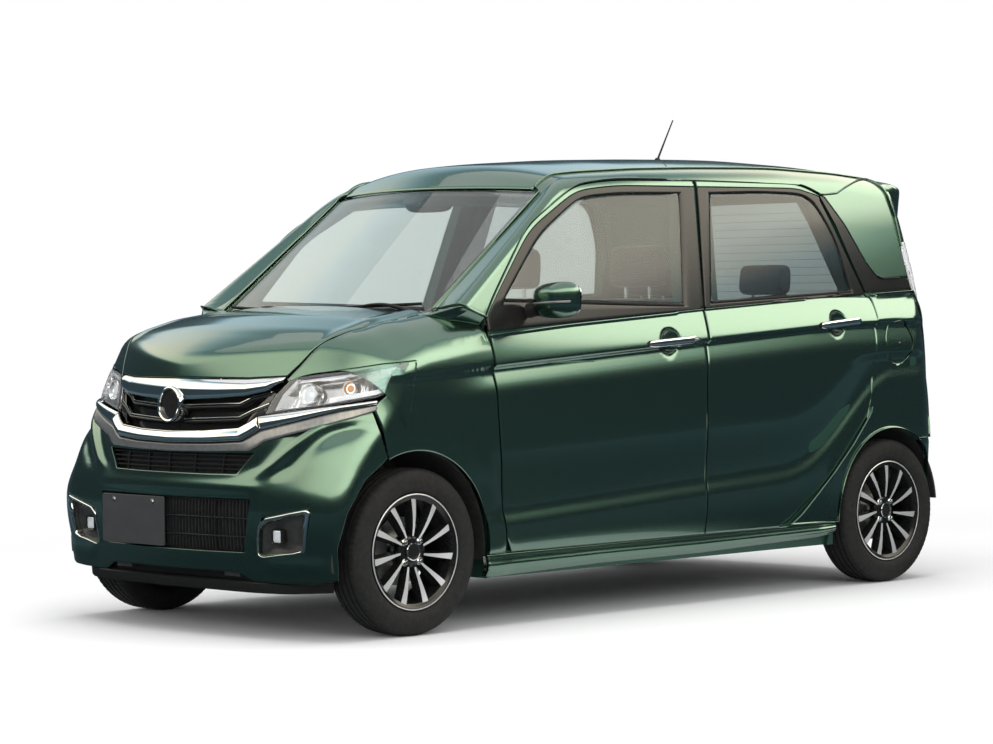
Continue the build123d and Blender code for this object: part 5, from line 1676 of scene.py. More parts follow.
def fogFittings():
    outer = np.array(intake["fogOuter"], float)
    centre = np.array([530.0, 348.0])
    loop = roundedLine([(x, z, 12) for x, z in outer], close=True)[:-1]
    loop = along(np.concatenate([loop, loop[:1]]), 121)[:-1]
    away = loop - centre
    # the bezel is broad along its top and its outer side and thin elsewhere
    broad = 5 + 10 * smoothStep(0.1, 0.8, away[:, 1] / 60) + 9 * smoothStep(0.4, 1.0, away[:, 0] / 90)
    inward = -away / np.linalg.norm(away, axis=1, keepdims=True)
    rings = []
    for t, proud in ((0.0, -14.0), (0.0, 1.0), (0.15, 4.5), (0.6, 4.0), (0.9, 1.0), (1.0, -6.0),
                     (1.1, -24.0)):
        xz = loop + inward * (broad * t)[:, None]
        p = noseFront(xz)
        rings.append(p + slopeOf(noseField, p) * proud)
    grid = np.stack(rings, axis=1)
    for side, sign in (("left", 1), ("right", -1)):
        faces = gridFaces(grid.shape[0], grid.shape[1], closeU=True)
        obj = meshFrom(f"fog_bezel_{side}", (grid * (sign, 1, 1)).reshape(-1, 3),
                       faces if sign < 0 else faces[:, ::-1], "chrome")
        flipIfInward(obj, (sign * 530, -1000, 348))
        addModifier(obj, "SOLIDIFY", thickness=1.4 * mm, offset=-1)
        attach(obj, "body")
    back = nosePatch([(428, 268), (530, 276), (628, 286)], [(436, 412), (540, 430), (662, 448)], 40, 40,
                     -30 + 16 * (1 - smoothStep(0.0, 0.25, edgeDistance(40, 40))))
    bothSides("fog_tray", back, "lampBlack", "body", depth=4)
    x, z = intake["fogLamp"]
    p = noseFront(np.array([x, z]))
    for side, sign in (("left", 1), ("right", -1)):
        square = roundedLine([(-25, -25, 9), (25, -25, 9), (25, 25, 9), (-25, 25, 9)], close=True)[:-1]
        def ring(scale, y):
            return np.column_stack([(x + square[:, 0] * scale) * sign, np.full(len(square), p[1] + y),
                                    z + square[:, 1] * scale])
        solid(f"fog_rim_{side}", [tubeParts(np.stack([ring(1.0, 30), ring(1.0, 10), ring(0.94, 7),
                                                      ring(0.84, 9), ring(0.78, 22), ring(0.78, 28)]))],
              "glossBlack", "body")
        solid(f"fog_lens_{side}", [tubeParts(np.stack([ring(0.80, 24), ring(0.80, 13), ring(0.7, 10.5),
                                                       ring(0.3, 9.2), ring(0.02, 9)]))], "eyeGlass", "body")
        solid(f"fog_reflector_{side}", [tubeParts(np.stack([ring(0.77, 27.5), ring(0.77, 25),
                                                            ring(0.4, 26.5), ring(0.02, 27)]))],
              "lampHousing", "body")


def lipFitting():
    plan = roundedLine([(0, -1650, 0), (420, -1640, 500), (560, -1585, 200), (624, -1516, 60),
                        (632, -1494, 0)])
    path = along(plan, 90)
    rings = []
    for inset, z in ((44, 240), (34, 240), (26, 194), (4, 190), (0, 186), (2, 160), (6, 154), (44, 153)):
        away = path * (1, 1) - np.array([0, -1000.0])
        away /= np.linalg.norm(away, axis=1, keepdims=True)
        rings.append(np.column_stack([path - away * inset, np.full(len(path),
                                                                   z
                                                                   + 3 * smoothStep(500, 620, path[:, 0]))]))
    lip = np.stack(rings, axis=1)
    full = np.concatenate([(lip * (-1, 1, 1))[::-1], lip[1:]])
    solid("front_lip", [tubeParts(full)], "blackTrim", "body")


finish("stripGrey", grey(0.2), grey(0.27), scale=60.0, roughness=(0.18, 0.28), bumpStrength=0.0,
       Metallic=0.6, Coat_Weight=0.5)
finish("darkChrome", grey(0.06), grey(0.09), scale=50.0, roughness=(0.14, 0.2), bumpStrength=0.0,
       Metallic=0.9)
finish("whiteGuide", grey(0.82), grey(0.9), scale=80.0, roughness=(0.15, 0.25), bumpStrength=0.0,
       Coat_Weight=0.6)
finish("eyeGlass", (0.75, 0.8, 0.82), (0.8, 0.84, 0.86), scale=6.0, roughness=(0.02, 0.04), bumpStrength=0.0,
       Metallic=0.35, Coat_Weight=1.0)
grilleFittings()
headlampFittings()
intakeFittings()
print("grille, headlamps and intakes made")


# ---------- windscreen, door frames and glass. A sheet keeps only the cells of its grid that a mask names
def maskedSheet(name, p, keep, material, body, thickness=1.5, sides=(1, -1)):
    faces = gridFaces(p.shape[0], p.shape[1]).reshape(p.shape[0] - 1, p.shape[1] - 1, 4)[keep]
    used, inverse = np.unique(faces, return_inverse=True)
    faces = inverse.reshape(-1, 4)
    for sign in sides:
        points = (p * (sign, 1, 1)).reshape(-1, 3)[used]
        label = name if len(sides) == 1 else f"{name}_{'left' if sign > 0 else 'right'}"
        obj = meshFrom(label, points, faces if sign > 0 else faces[:, ::-1], material)
        addModifier(obj, "SOLIDIFY", thickness=thickness * mm, offset=-1)
        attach(obj, body)


def screenPoint(x, z, proud=0.0):
    p = cast(vec(x, 300.0, z), (0, -1, 0), cabinField)
    return p + slopeOf(cabinField, p) * proud


windscreen = {
    "foot": (565.0, 1062.0, 11.0),      # half width, height in the middle, rise to the corner
    "header": (537.0, 1510.0, -19.0),
    "wipers": [{"pivot": (505, 1058), "arm": (285, 1081), "blade": ((20, 1077), (498, 1093))},
               {"pivot": (-60, 1052), "arm": (-250, 1074), "blade": ((-500, 1086), (-45, 1072))}],
}


def screenGrid(nu, nv, proud=0.0):
    u, v = np.linspace(-1, 1, nu)[:, None], np.linspace(0, 1, nv)[None, :]
    (halfA, zA, riseA), (halfB, zB, riseB) = windscreen["foot"], windscreen["header"]
    x = u * (halfA + (halfB - halfA) * v)
    z = (zA + riseA * u * u) * (1 - v) + (zB + riseB * u * u) * v
    return screenPoint(x, z + 0 * x, proud)


def windscreenFittings():
    glass = panel("windscreen_glass", screenGrid(70, 60, -2.0), "glass", thickness=4.5, depth=1.0, lip=0.3)
    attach(glass, "body")
    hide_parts("windscreen")
    nu, nv = 140, 120
    under = screenGrid(nu, nv, -8.0)
    u, v = np.linspace(0, 1, nu - 1)[:, None], np.linspace(0, 1, nv - 1)[None, :]
    fritted = (v < 0.05) | (v > 0.965) | (u < 0.024) | (u > 0.976) | ((np.abs(u - 0.5) < 0.045) & (v > 0.9))
    maskedSheet("windscreen_border", under, fritted, "glossBlack", "body", sides=(1,))
    maskedSheet("windscreen_tint", under, (v > 0.88) & (v <= 0.965) & (u >= 0.024) & (u <= 0.976) & ~fritted,
                "tintGlass", "body", 0.6, (1,))
    # mirror stuck to the glass
    stem = pathParts([(0, -478, 1500), (0, -470, 1478), (0, -456, 1466)], 8)
    solid("inner_mirror_stem", [stem], "trimPlastic", "body")
    t = np.linspace(0, 2 * math.pi, 48, endpoint=False)
    shape = np.sign(np.cos(t)) * np.abs(np.cos(t)) ** 0.5, np.sign(np.sin(t)) * np.abs(np.sin(t)) ** 0.7
    rings = [np.column_stack([shape[0] * 118 * k, np.full(48, -462.0 + d), 1462 + shape[1] * 31 * k]) for k,
             d in ((0.02, -16), (0.7, -15), (0.94, -9), (1.0, 0), (1.0, 10), (0.97, 13))]
    solid("inner_mirror_shell", [tubeParts(np.stack(rings))], "trimPlastic", "body")
    rings = [np.column_stack([shape[0] * 118 * k, np.full(48, -462.0 + d), 1462 + shape[1] * 31 * k]) for k,
             d in ((0.95, 13.4), (0.02, 14))]
    solid("inner_mirror_glass", [tubeParts(np.stack(rings))], "mirrorGlass", "body")
    # cowl: a black grille between the bonnet's rear edge and the glass
    x = np.linspace(-548, 548, 150)
    ax = np.abs(x)
    rearLine = np.stack([x, np.interp(ax, [0, 300, 566, 600], [-1096, -1074, -1010, -996])], axis=1)
    front = noseTop(rearLine) - np.stack([0 * x, 0 * x, 14 + 16 * smoothStep(380, 540, ax)], axis=1)
    back = (screenPoint(x, windscreen["foot"][1] - 6 + windscreen["foot"][2] * (ax / 565) ** 2)
            - np.array([0, 0, 5.0]))
    t = np.linspace(0, 1, 16)[None, :, None]
    cowl = (front[:, None] * (1 - t) + back[:, None] * t + np.array([0, 0, 1.0])
            * (2.5 * np.sin(t * 9) * smoothStep(0, 0.2, t)))
    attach(panel("cowl_cover", cowl, "blackTrim", depth=10), "body")
    for k, wiper in enumerate(windscreen["wipers"]):
        (x0, z0), (x1, z1) = wiper["blade"]
        s = np.linspace(0, 1, 40)
        blade = screenPoint(x0 + (x1 - x0) * s, z0 + (z1 - z0) * s, 9.0)
        solid(f"wiper_blade_{k}", [pathParts(blade, 4.2, 8),
                                   pathParts(blade - slopeOf(cabinField, blade) * 6.5, 1.8, 6)], "rubber",
              "body")
        px, pz = wiper["pivot"]
        ax1, az1 = wiper["arm"]
        s = np.linspace(0, 1, 24)
        lift = 12 + 16 * np.sin(math.pi * np.clip(s, 0, 1) * 0.9)
        arm = screenPoint(px + (ax1 - px) * s, pz + (az1 - pz) * s + 4 * np.sin(math.pi * s), 0.0)
        arm = arm + slopeOf(cabinField, arm) * lift[:, None]
        pivot = arm[0]
        solid(f"wiper_arm_{k}", [pathParts(arm, np.linspace(8, 4.5, 24), 10),
                                 rodParts(pivot - np.array([0, 0, 26.0]), pivot + np.array([0, 0, 8.0]), 13,
                                          24)], "blackTrim", "body")


def cabinOut(yz, proud=0.0):
    p = cabinSide(yz)
    return p + slopeOf(cabinField, p) * np.asarray(proud)[..., None]


# frames hold matched corners as (y, z), from the lower front one by the rear to the top; round the glass the
# sash
frames = {"front": {"from": -900, "to": 334, "foot": [(-858, 1006), (256, 1072)],
                    "glassFoot": [(-758, 1108), (148, 1083)],
                    "glassTop": [(239, 1497), (-84, 1490), (-296, 1472), (-532, 1334), (-738, 1130),
                                 (-756, 1112)], "glassKey": "glass"},
          "rear": {"from": 343, "to": 1100, "foot": [(264, 1074), (760, 1098), (1208, 1123)],
                   "glassFoot": [(306, 1093), (760, 1113), (1130, 1130)],
                   "glassTop": [(412, 1500), (700, 1512), (960, 1508), (1010, 1480), (1094, 1332),
                                (1128, 1140)], "glassKey": "privacyGlass"},
          "stripWidth": ([-861, -586, -310, 334, 980, 1044], [5, 13, 16, 21, 14, 5]), "gap": 3.0,}


def joinedChains(chains, counts):
    return np.concatenate([along(np.array(c, float), n + 1)[:-1] for c, n in zip(chains, counts)])


def doorFrames():
    for place in ("front", "rear"):
        shape = frames[place]
        line = doorLine()
        line = line[(line[:, 0] > shape["from"]) & (line[:, 0] < shape["to"])]
        high = shifted(line, frames["gap"])
        wide = np.interp(line[:, 0], *frames["stripWidth"])
        low = shifted(line, frames["gap"] + wide)
        edge = shifted(line, frames["gap"] + wide + 1.5)
        # both loops run along the foot to the rear, up, forward over the top and down again
        foot, glassFoot = np.array(shape["foot"], float), np.array(shape["glassFoot"], float)
        glassTop = softened(along(np.array(shape["glassTop"], float), 120), 50)
        over, glassOver = edge[::-1], glassTop if place == "front" else glassTop[::-1]
        if place == "front":
            counts = (90, 40, 150, 14)
            a = joinedChains((foot, (foot[-1], over[0]), over, (over[-1], foot[0])), counts)
            b = joinedChains((glassFoot, (glassFoot[-1], glassOver[0]), glassOver,
                              (glassOver[-1], glassFoot[0])), counts)
        else:
            # the rear glass's top chain also comes down the slanting edge, as the frame's does
            post = along(np.array([foot[-1], *shifted(line, 20.0)[-1:]], float), 2)
            counts = (90, 60, 130, 40)
            a = joinedChains((foot, post, over, (over[-1], foot[0])), counts)
            b = joinedChains((glassFoot, glassOver[:45], glassOver[44:], (glassOver[-1], glassFoot[0])),
                             counts)
        t = np.array([0, 0, 0.02, 0.06, 0.2, 0.4, 0.6, 0.8, 0.94, 0.98, 1.0, 1.0])
        sink = np.array([-9, -1.5, -0.2, 0, 0, 0, 0, 0, -0.8, -2.5, -5.5, -9]) - 1.2
        yz = a[:, None] * (1 - t[None, :, None]) + b[:, None] * t[None, :, None]
        p = cabinOut(yz, np.broadcast_to(sink, yz.shape[:2]))
        for side, sign in (("left", 1), ("right", -1)):
            faces = gridFaces(p.shape[0], p.shape[1], closeU=True)
            obj = meshFrom(f"sash_{place}_{side}", (p * (sign, 1, 1)).reshape(-1, 3),
                           faces if sign > 0 else faces[:, ::-1], "glossBlack")
            addModifier(obj, "SOLIDIFY", thickness=1.5 * mm, offset=-1)
            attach(obj, f"door_{place}_{side}")
        across = np.linspace(0, 1, 8)[None, :, None]
        strip = along(low, 160)[:, None] * (1 - across) + along(high, 160)[:, None] * across
        bothSides(f"frame_strip_{place}", cabinOut(strip, np.zeros(strip.shape[:2])), "paint",
                  f"door_{place}", depth=8, lip=1.2)
        # the pane spans from its foot to its top at each place along the car, and ends where they meet
        top = glassOver[np.argsort(glassOver[:, 0])]
        rear = (np.array([glassFoot[-1], glassTop[0]]) if place == "front"
                else np.array([glassFoot[0], glassTop[0]]))
        y = np.linspace(glassFoot[:, 0].min(), max(glassFoot[:, 0].max(), top[:, 0].max()), 90)
        low = np.interp(y, glassFoot[:, 0], glassFoot[:, 1])
        slant = rear[np.argsort(rear[:, 0])]
        if place == "front":
            low = np.where(y > slant[0, 0], np.interp(y, slant[:, 0], slant[:, 1]), low)
            up = np.interp(y, top[:, 0], top[:, 1])
        else:
            up = np.where(y < slant[1, 0], np.interp(y, slant[:, 0], slant[:, 1]),
                          np.interp(y, top[:, 0], top[:, 1]))
        v = np.linspace(0, 1, 26)[None, :]
        flat = np.stack(np.broadcast_arrays(y[:, None], low[:, None] - 2
                                            + (np.maximum(up, low + 1) - low + 4)[:, None] * v), axis=-1)
        bothSides(f"pane_{place}", cabinOut(flat, np.full(flat.shape[:2], -5.0)), shape["glassKey"],
                  f"door_{place}", f"glass_{place}", thickness=4.0, depth=0.8,
                  lip=0.2)
        # a black moulding along the foot of the glass
        foot = along(glassFoot, 60) + np.array([0, 3.0])
        pair(f"waist_seal_{place}", [pathParts(cabinOut(foot, np.full(60, -1.0)), 4.5, 10)], "rubber",
             f"door_{place}_left", f"door_{place}_right")


finish("tintGlass", (0.10, 0.16, 0.15), (0.12, 0.18, 0.17), scale=4.0, roughness=(0.02, 0.03),
       bumpStrength=0.0, Transmission_Weight=0.9, IOR=1.02)
finish("mirrorGlass", (0.6, 0.63, 0.66), (0.64, 0.67, 0.7), scale=4.0, roughness=(0.015, 0.025),
       bumpStrength=0.0, Metallic=1.0)
# a darker copy of the body paint for the handle bowls: painted shade in the recess behind each grip
finish("shadedBowlPaint", (0.02, 0.055, 0.045), (0.05, 0.1, 0.075), scale=2200.0, roughness=(0.25, 0.3),
       bumpStrength=0.0, Metallic=0.9, Coat_Weight=1.0)
windscreenFittings()
doorFrames()
print("windscreen, frames and glass made")

# ---------- door handles and mirrors
handles = {
    "front": {"ends": ((-84, 948), (174, 963)), "x": 747.0, "bowl": (40, 956)},
    "rear": {"ends": ((878, 1003), (1124, 1021)), "x": 741.0, "bowl": (996, 1012)},
}


def handleFittings():
    for place, handle in handles.items():
        (y0, z0), (y1, z1) = handle["ends"]
        s = np.linspace(0, 1, 60)
        y, z = y0 + (y1 - y0) * s, z0 + (z1 - z0) * s
        skin = sideX(y, z)
        x = skin + 4 + 12 * smoothStep(0, 0.14, s) * smoothStep(1, 0.86, s)
        # the grip's section: 24 high, 11 deep, its ends rounded off
        high = 13.5 * np.minimum(1, (1 - np.abs(2 * s - 1) ** 14)) ** 0.5 + 0.4
        deep = 7.0
        a = np.linspace(0, 2 * math.pi, 20, endpoint=False)
        cx, cz = np.sign(np.cos(a)) * np.abs(np.cos(a)) ** 0.7, np.sign(np.sin(a)) * np.abs(np.sin(a)) ** 0.8
        grip = np.stack([x[:, None] + deep * cx * (high / 12)[:, None], y[:, None] + 0 * cx,
                         z[:, None] + high[:, None] * cz], axis=-1)
        caps = []
        for end in (0.05, 0.95):
            yy, zz = y0 + (y1 - y0) * end, z0 + (z1 - z0) * end
            xx = float(sideX(np.array(yy), np.array(zz)))
            caps.append(rodParts((xx - 4, yy, zz), (xx + 8, yy, zz), 12, 24))
        bodies = f"door_{place}_left", f"door_{place}_right"
        pair(f"handle_{place}", [tubeParts(grip)], "chrome", *bodies)
        pair(f"handle_feet_{place}", caps, "blackTrim", *bodies, bevel=1.5)
        # the bowl's floor behind the grip, in a darker copy of the body paint: painted shade in the recess
        by, bz = handle["bowl"]
        r = np.linspace(0.01, 1, 14)[None, :]
        t = np.linspace(0, 2 * math.pi, 48, endpoint=False)[:, None]
        yy, zz = by + 50 * r * np.cos(t), bz + 44 * r * np.sin(t)
        xx = sideX(yy, zz) - 15 * (1 - r ** 2.2) - 0.6 + 1.2 * smoothStep(0.9, 1.0, r)
        bowl = np.stack([xx, yy, zz], axis=-1)
        for side, sign in (("left", 1), ("right", -1)):
            faces = gridFaces(48, 14, closeU=True)
            obj = meshFrom(f"handle_bowl_{place}_{side}", (bowl * (sign, 1, 1)).reshape(-1, 3),
                           faces if sign < 0 else faces[:, ::-1], "shadedBowlPaint")
            flipIfInward(obj, (0, by, bz))
            addModifier(obj, "SOLIDIFY", thickness=1.2 * mm, offset=-1)
            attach(obj, f"door_{place}_{side}")
    key = [rodParts((742, 158, 962), (765.5, 158, 962.5), 6.5, 24)]
    pair("keyhole", key, "satinChrome", "door_front_left", "door_front_right")


mirrorShape = {"centre": (829.0, -650.0, 1107.0), "half": (91.5, 58.0, 62.0)}


def mirrorFittings():
    (cx, cy, cz), (hx, hy, hz) = mirrorShape["centre"], mirrorShape["half"]
    u = np.linspace(0, 2 * math.pi, 96, endpoint=False)[:, None]
    v = np.linspace(-math.pi / 2 + 0.02, math.pi / 2 - 0.02, 64)[None, :]
    def power(t, e):
        return np.sign(t) * np.abs(t) ** e
    # a block rounded on superellipses, deeper in front, cut flat behind, drawn in towards the door
    x = power(np.cos(v), 0.45) * power(np.cos(u), 0.5)
    z = power(np.cos(v), 0.45) * power(np.sin(u), 0.62)
    y = power(np.sin(v), 0.8)
    y = np.where(y > 0, y * 0.42, y)
    taper = 1 - 0.16 * smoothStep(-0.2, -1.0, y)
    narrow = 1 - 0.12 * smoothStep(0.2, -1.0, x)
    p = np.stack([cx + hx * x * taper, cy + hy * y + 16 * smoothStep(0.3, 1.0, x),
                  cz + hz * z * taper * narrow + 4 * x], axis=-1)
    closed = tubeParts(np.swapaxes(p, 0, 1))
    pair("mirror_shell", [closed], "paint", "door_front_left", "door_front_right", "mirror")
    # glass, sunk in the flat rear face
    t = np.linspace(0, 2 * math.pi, 64, endpoint=False)
    sx, sz = power(np.cos(t), 0.5), power(np.sin(t), 0.62)
    levels = [np.column_stack([cx + hx * sx * k, np.full(64, cy + hy * 0.42 + 2 + d)
                               + 16 * smoothStep(0.3, 1.0, sx * k), cz + hz * sz * k + 4 * sx * k]) for k,
              d in ((0.9, -3), (0.9, 0.6), (0.86, 1.2), (0.02, 1.2))]
    pair("mirror_glass", [tubeParts(np.stack(levels))], "mirrorGlass", "door_front_left", "door_front_right")
    # indicator line across the front, foot and sail
    s = np.linspace(-0.55, 0.93, 40)
    yFront = cy - hy * (1 - np.abs(s) ** 5) ** 0.5 * 0.98 + 16 * smoothStep(0.3, 1.0, s) - 1.0
    line = np.stack([cx + hx * s, yFront, cz - 8 + 4 * s + 0 * s], axis=1)
    pair("mirror_indicator", [pathParts(line, 4.0, 10)], "stripGrey", "door_front_left", "door_front_right")
    foot = [pathParts([(718, -668, 1072), (745, -664, 1076), (778, -660, 1076), (800, -656, 1080)],
                      [26, 24, 22, 18], 20)]
    pair("mirror_foot", foot, "blackTrim", "door_front_left", "door_front_right")


handleFittings()
mirrorFittings()
print("handles and mirrors made")

# ---------- the tail, each piece worked out on the cabin's rear face, or on rays fanned round its corner
tail = {"panel": {"bottom": [(0, 561), (566, 561)], "top": [(0, 1044), (500, 1059), (577, 1066)],
                  "outer": [(566, 561), (586, 900, 300), (577, 1066)]},
        "frame": [(0, 1048), (505, 1064), (577, 1070), (562, 1290), (550, 1500), (538, 1548), (0, 1566)],
        "window": [(0, 1051), (503, 1067), (505, 1070), (478, 1290), (449, 1496), (444, 1500), (0, 1512)],
        "lampFoot": 794.0, "lampTop": 1326.0, "rows": [556, 640, 790, 880, 1000, 1139, 1190, 1250, 1330,
                                                       1430, 1530],
        "sideY": [1600, 1619, 1614, 1593, 1563, 1514, 1503, 1493, 1490, 1487, 1466],
        "tailX": [573, 578, 588, 592, 589, 582, 578, 574, 569, 562, 551], "plate": (0.0, 800.0, 165.0, 82.5),
        "axis": 1000.0,}


def tailPoint(xz, proud=0.0):
    p = cabinTail(xz)
    return p + slopeOf(cabinField, p) * np.broadcast_to(np.asarray(proud, float), p.shape[:-1])[..., None]


def tailAngle(p):
    return np.arctan2(p[..., 0], p[..., 1] - tail["axis"])


def tailPlan(a, z):
    return cast(vec(0.0, tail["axis"], z), vec(np.sin(a), np.cos(a), 0), cabinField)


# strip round the rear corner between two heights, from the side's edge to the tailgate's
def cornerStrip(low, high, nu, nv, sunk=0.0, trim=0.0):
    z = np.linspace(low, high, nv)
    y = np.interp(z, tail["rows"], tail["sideY"]) + 2 + trim
    x = np.interp(z, tail["rows"], tail["tailX"]) + 6 + trim
    start = tailAngle(cabinSide(np.stack([y, z], axis=1)))
    end = tailAngle(cabinTail(np.stack([x, z], axis=1)))
    a = start + (end - start) * np.linspace(0, 1, nu)[:, None]
    p = tailPlan(a, z + 0 * a)
    return p - slopeOf(cabinField, p) * np.broadcast_to(np.asarray(sunk, float), a.shape)[..., None]


def plateDip(xz):
    x, z = np.abs(xz[..., 0]), xz[..., 1]
    _, pz, halfX, halfZ = tail["plate"]
    return -16 * smoothStep(halfX + 26, halfX + 8, x) * smoothStep(halfZ + 26, halfZ + 8, np.abs(z - pz))


def tailgateSkins():
    shape = tail["panel"]
    flat = coons(np.array(shape["bottom"], float), np.array(shape["top"], float),
                 np.array([shape["bottom"][0], shape["top"][0]], float), roundedLine(shape["outer"]), 80, 90)
    lower = tailPoint(flat, plateDip(flat))[::-1]
    half = np.concatenate([lower, (lower[::-1] * (-1, 1, 1))[1:]])
    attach(panel("skin_tailgate", half, "paint", depth=12), "tailgate")
    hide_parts("tailgate")
    outer, inner = np.array(tail["frame"], float), np.array(tail["window"], float)
    perEdge = [40, 8, 24, 24, 8, 44]
    chain = [np.concatenate([c[i] + (c[i + 1] - c[i]) * (np.arange(n) / n)[:, None] for i,
                             n in enumerate(perEdge)] + [c[-1:]]) for c in (outer, inner)]
    t = np.array([0, 0, 0.03, 0.3, 0.6, 0.9, 0.97, 1.0])
    sink = np.array([-10, -1.2, 0, 0, 0, 0, -2.0, -8.0])
    flat = chain[0][:, None] * (1 - t[None, :, None]) + chain[1][:, None] * t[None, :, None]
    ring = tailPoint(flat, np.broadcast_to(sink, flat.shape[:2]))
    ring = np.concatenate([ring, (ring[::-1] * (-1, 1, 1))[1:-1]])
    obj = surface("tailgate_frame", ring, "glossBlack", closeU=True)
    flipIfInward(obj, (0, 1000, 1300))
    addModifier(obj, "SOLIDIFY", thickness=1.5 * mm, offset=-1)
    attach(obj, "tailgate")
    x = np.linspace(-1, 1, 80)[:, None]
    z = np.linspace(1049, 1508, 50)[None, :]
    reach = np.interp(z, [1049, 1070, 1290, 1508], [500, 506, 479, 440])
    glass = tailPoint(np.stack(np.broadcast_arrays(x * reach, z), axis=-1), -6.0)[::-1]
    obj = panel("rear_glass", glass, "privacyGlass", thickness=4.0, depth=0.8, lip=0.2)
    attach(obj, "tailgate")
    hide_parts("tailgate_glass")
    demisterParts = [pathParts(tailPoint(np.stack([np.linspace(-430, 430, 30), np.full(30, h)], axis=1),
                                         -11.5), 0.7, 6) for h in np.arange(1110, 1470, 32.0)]
    solid("demister_lines", demisterParts, "lampBlack", "tailgate")
    x = np.linspace(-1, 1, 60)
    grip = tailPoint(np.stack([x * 170, np.full(60, 948.0)], axis=1), 5.0)
    solid("tailgate_handle", [pathParts(grip, 11.0 * np.minimum(1, 1.02 - np.abs(x) ** 12) ** 0.5, 16)],
          "chrome", "tailgate")
    wiper = tailPoint(np.stack([np.linspace(0, 340, 40), 1066 + 30 * np.linspace(0, 1, 40) ** 1.4], axis=1),
                      12.0)
    solid("rear_wiper", [pathParts(wiper, np.linspace(7, 3.5, 40), 10),
                         rodParts(wiper[0] - np.array([0, 26.0, 0]), wiper[0] + np.array([0, 6.0, 0]), 15,
                                  28)], "blackTrim", "tailgate")
    _, pz, halfX, halfZ = tail["plate"]
    y = float(cabinTail(np.array([0.0, pz]))[1]) - 13
    corner = roundedLine([(-halfX, pz - halfZ, 8), (halfX, pz - halfZ, 8), (halfX, pz + halfZ, 8),
                          (-halfX, pz + halfZ, 8)], close=True)[:-1]
    levels = [np.column_stack([corner[:, 0] * k, np.full(len(corner), y + d), (corner[:, 1] - pz) * k + pz])
              for k, d in ((1, -4), (1, 1.2), (0.994, 2.0))]
    solid("rear_plate", [ringSolid(levels)], "plate", "tailgate", bevel=0.5)
    bolts = [rodParts((dx, y - 2, pz + 52), (dx, y + 6, pz + 52), 8, 6) for dx in (-105, 105)]
    solid("rear_plate_bolts", bolts, "satinChrome", "tailgate", bevel=0.8)


# wing over the rear glass: a closed section at each place across. Its tip draws in on a quarter ellipse
# towards the ends, where the section also reaches down beside the glass
def spoilerSkin():
    x = np.concatenate([np.linspace(0, 500, 50), np.linspace(506, 556, 22)])
    end = np.clip((x - 400) / 156, 0, 1)
    tipY = 1694 - 134 * (1 - np.sqrt(np.clip(1 - end ** 2.2, 0, 1)))
    tipZ = 1559 - 20 * (x / 556) ** 2
    down = 95 * smoothStep(492, 548, x)
    rootZ = (np.minimum(roofAt(x, np.full_like(x, 1472.0)), cabinTop(np.stack([x, np.full_like(x, 1470.0)],
                                                                              axis=1))[:, 2]) + 1.0)
    backY = cabinTail(np.stack([x, np.full_like(x, 1500.0)], axis=1))[:, 1] - 14
    points = [(0 * x + 1468, rootZ - 22), (0 * x + 1467, rootZ), (0 * x + 1510, rootZ - 3 - 5 * end),
              (1510 + (tipY - 1510) * 0.55, rootZ * 0.58 + tipZ * 0.42 + 5), (tipY - 3, tipZ + 3),
              (tipY, tipZ - 5), (tipY - 6, tipZ - 17 - down * 0.35),
              (np.maximum(backY + 14, tipY - 74 + 66 * end), tipZ - 36 - down), (backY, tipZ - 34 - down),
              (backY - 16, tipZ - 20 - down * 0.6)]
    section = np.stack([np.stack([x, y, z], axis=1) for y, z in points], axis=1)
    middle = section.mean(axis=1, keepdims=True)
    pinch = 1 - 0.5 * smoothStep(552, 556.5, x) ** 2
    section = middle + (section - middle) * pinch[:, None, None]
    loops = np.concatenate([(section[1:] * (-1, 1, 1))[::-1], section])
    closed = np.stack([along(np.concatenate([loop, loop[:1]]), 61)[:-1] for loop in loops])
    for _ in range(3):
        closed = (np.roll(closed, 1, 1) + 2 * closed + np.roll(closed, -1, 1)) / 4
    solid("spoiler", [tubeParts(closed)], "paint", "tailgate")
    brake = boxParts((-115, 1640, 1533), (115, 1683, 1545))
    solid("high_brake_lamp", [brake], "redLens", "tailgate", bevel=1.5)


def tailCorners():
    foot, top = tail["lampFoot"], tail["lampTop"]
    nu, nv = 36, 90
    d = edgeDistance(nu, nv)
    lens = cornerStrip(foot, top, nu, nv, -1.5 - 3.0 * smoothStep(0, 0.25, d), trim=1.0)
    bothSides("tail_lens", lens, "lens", "body", "tail_lamps", thickness=2.0, depth=7, lip=0.8)
    v = np.linspace(0, 1, nv)[None, :]
    ribs = 3.0 * (np.abs(np.mod(v * 22, 1.0) - 0.5) * 2) * smoothStep(0.05, 0.12, d)
    bowl = cornerStrip(foot, top, nu, nv, 7 + 20 * smoothStep(0.02, 0.2, d) + ribs, trim=2.0)
    bothSides("tail_bowl", bowl, "lampHousing", "body", thickness=1.2, depth=2, lip=0.3)
    rear = cornerStrip(foot + 90, top - 110, nu, nv, 5.0, trim=2.0)[int(nu * 0.5):-6]
    bothSides("tail_red", rear, "redLens", "body", thickness=2.5, depth=4, lip=0.5)
    edge = cornerStrip(foot + 6, top - 6, nu, nv, 2.0, trim=2.0)[:5]
    bothSides("tail_edge", edge, "whiteGuide", "body", thickness=2.0, depth=3, lip=0.4)
    bothSides("corner_low", cornerStrip(558, foot - 3, 40, 50), "paint", "body")
    bothSides("corner_high", cornerStrip(top + 3, 1528, 40, 40), "paint", "body")


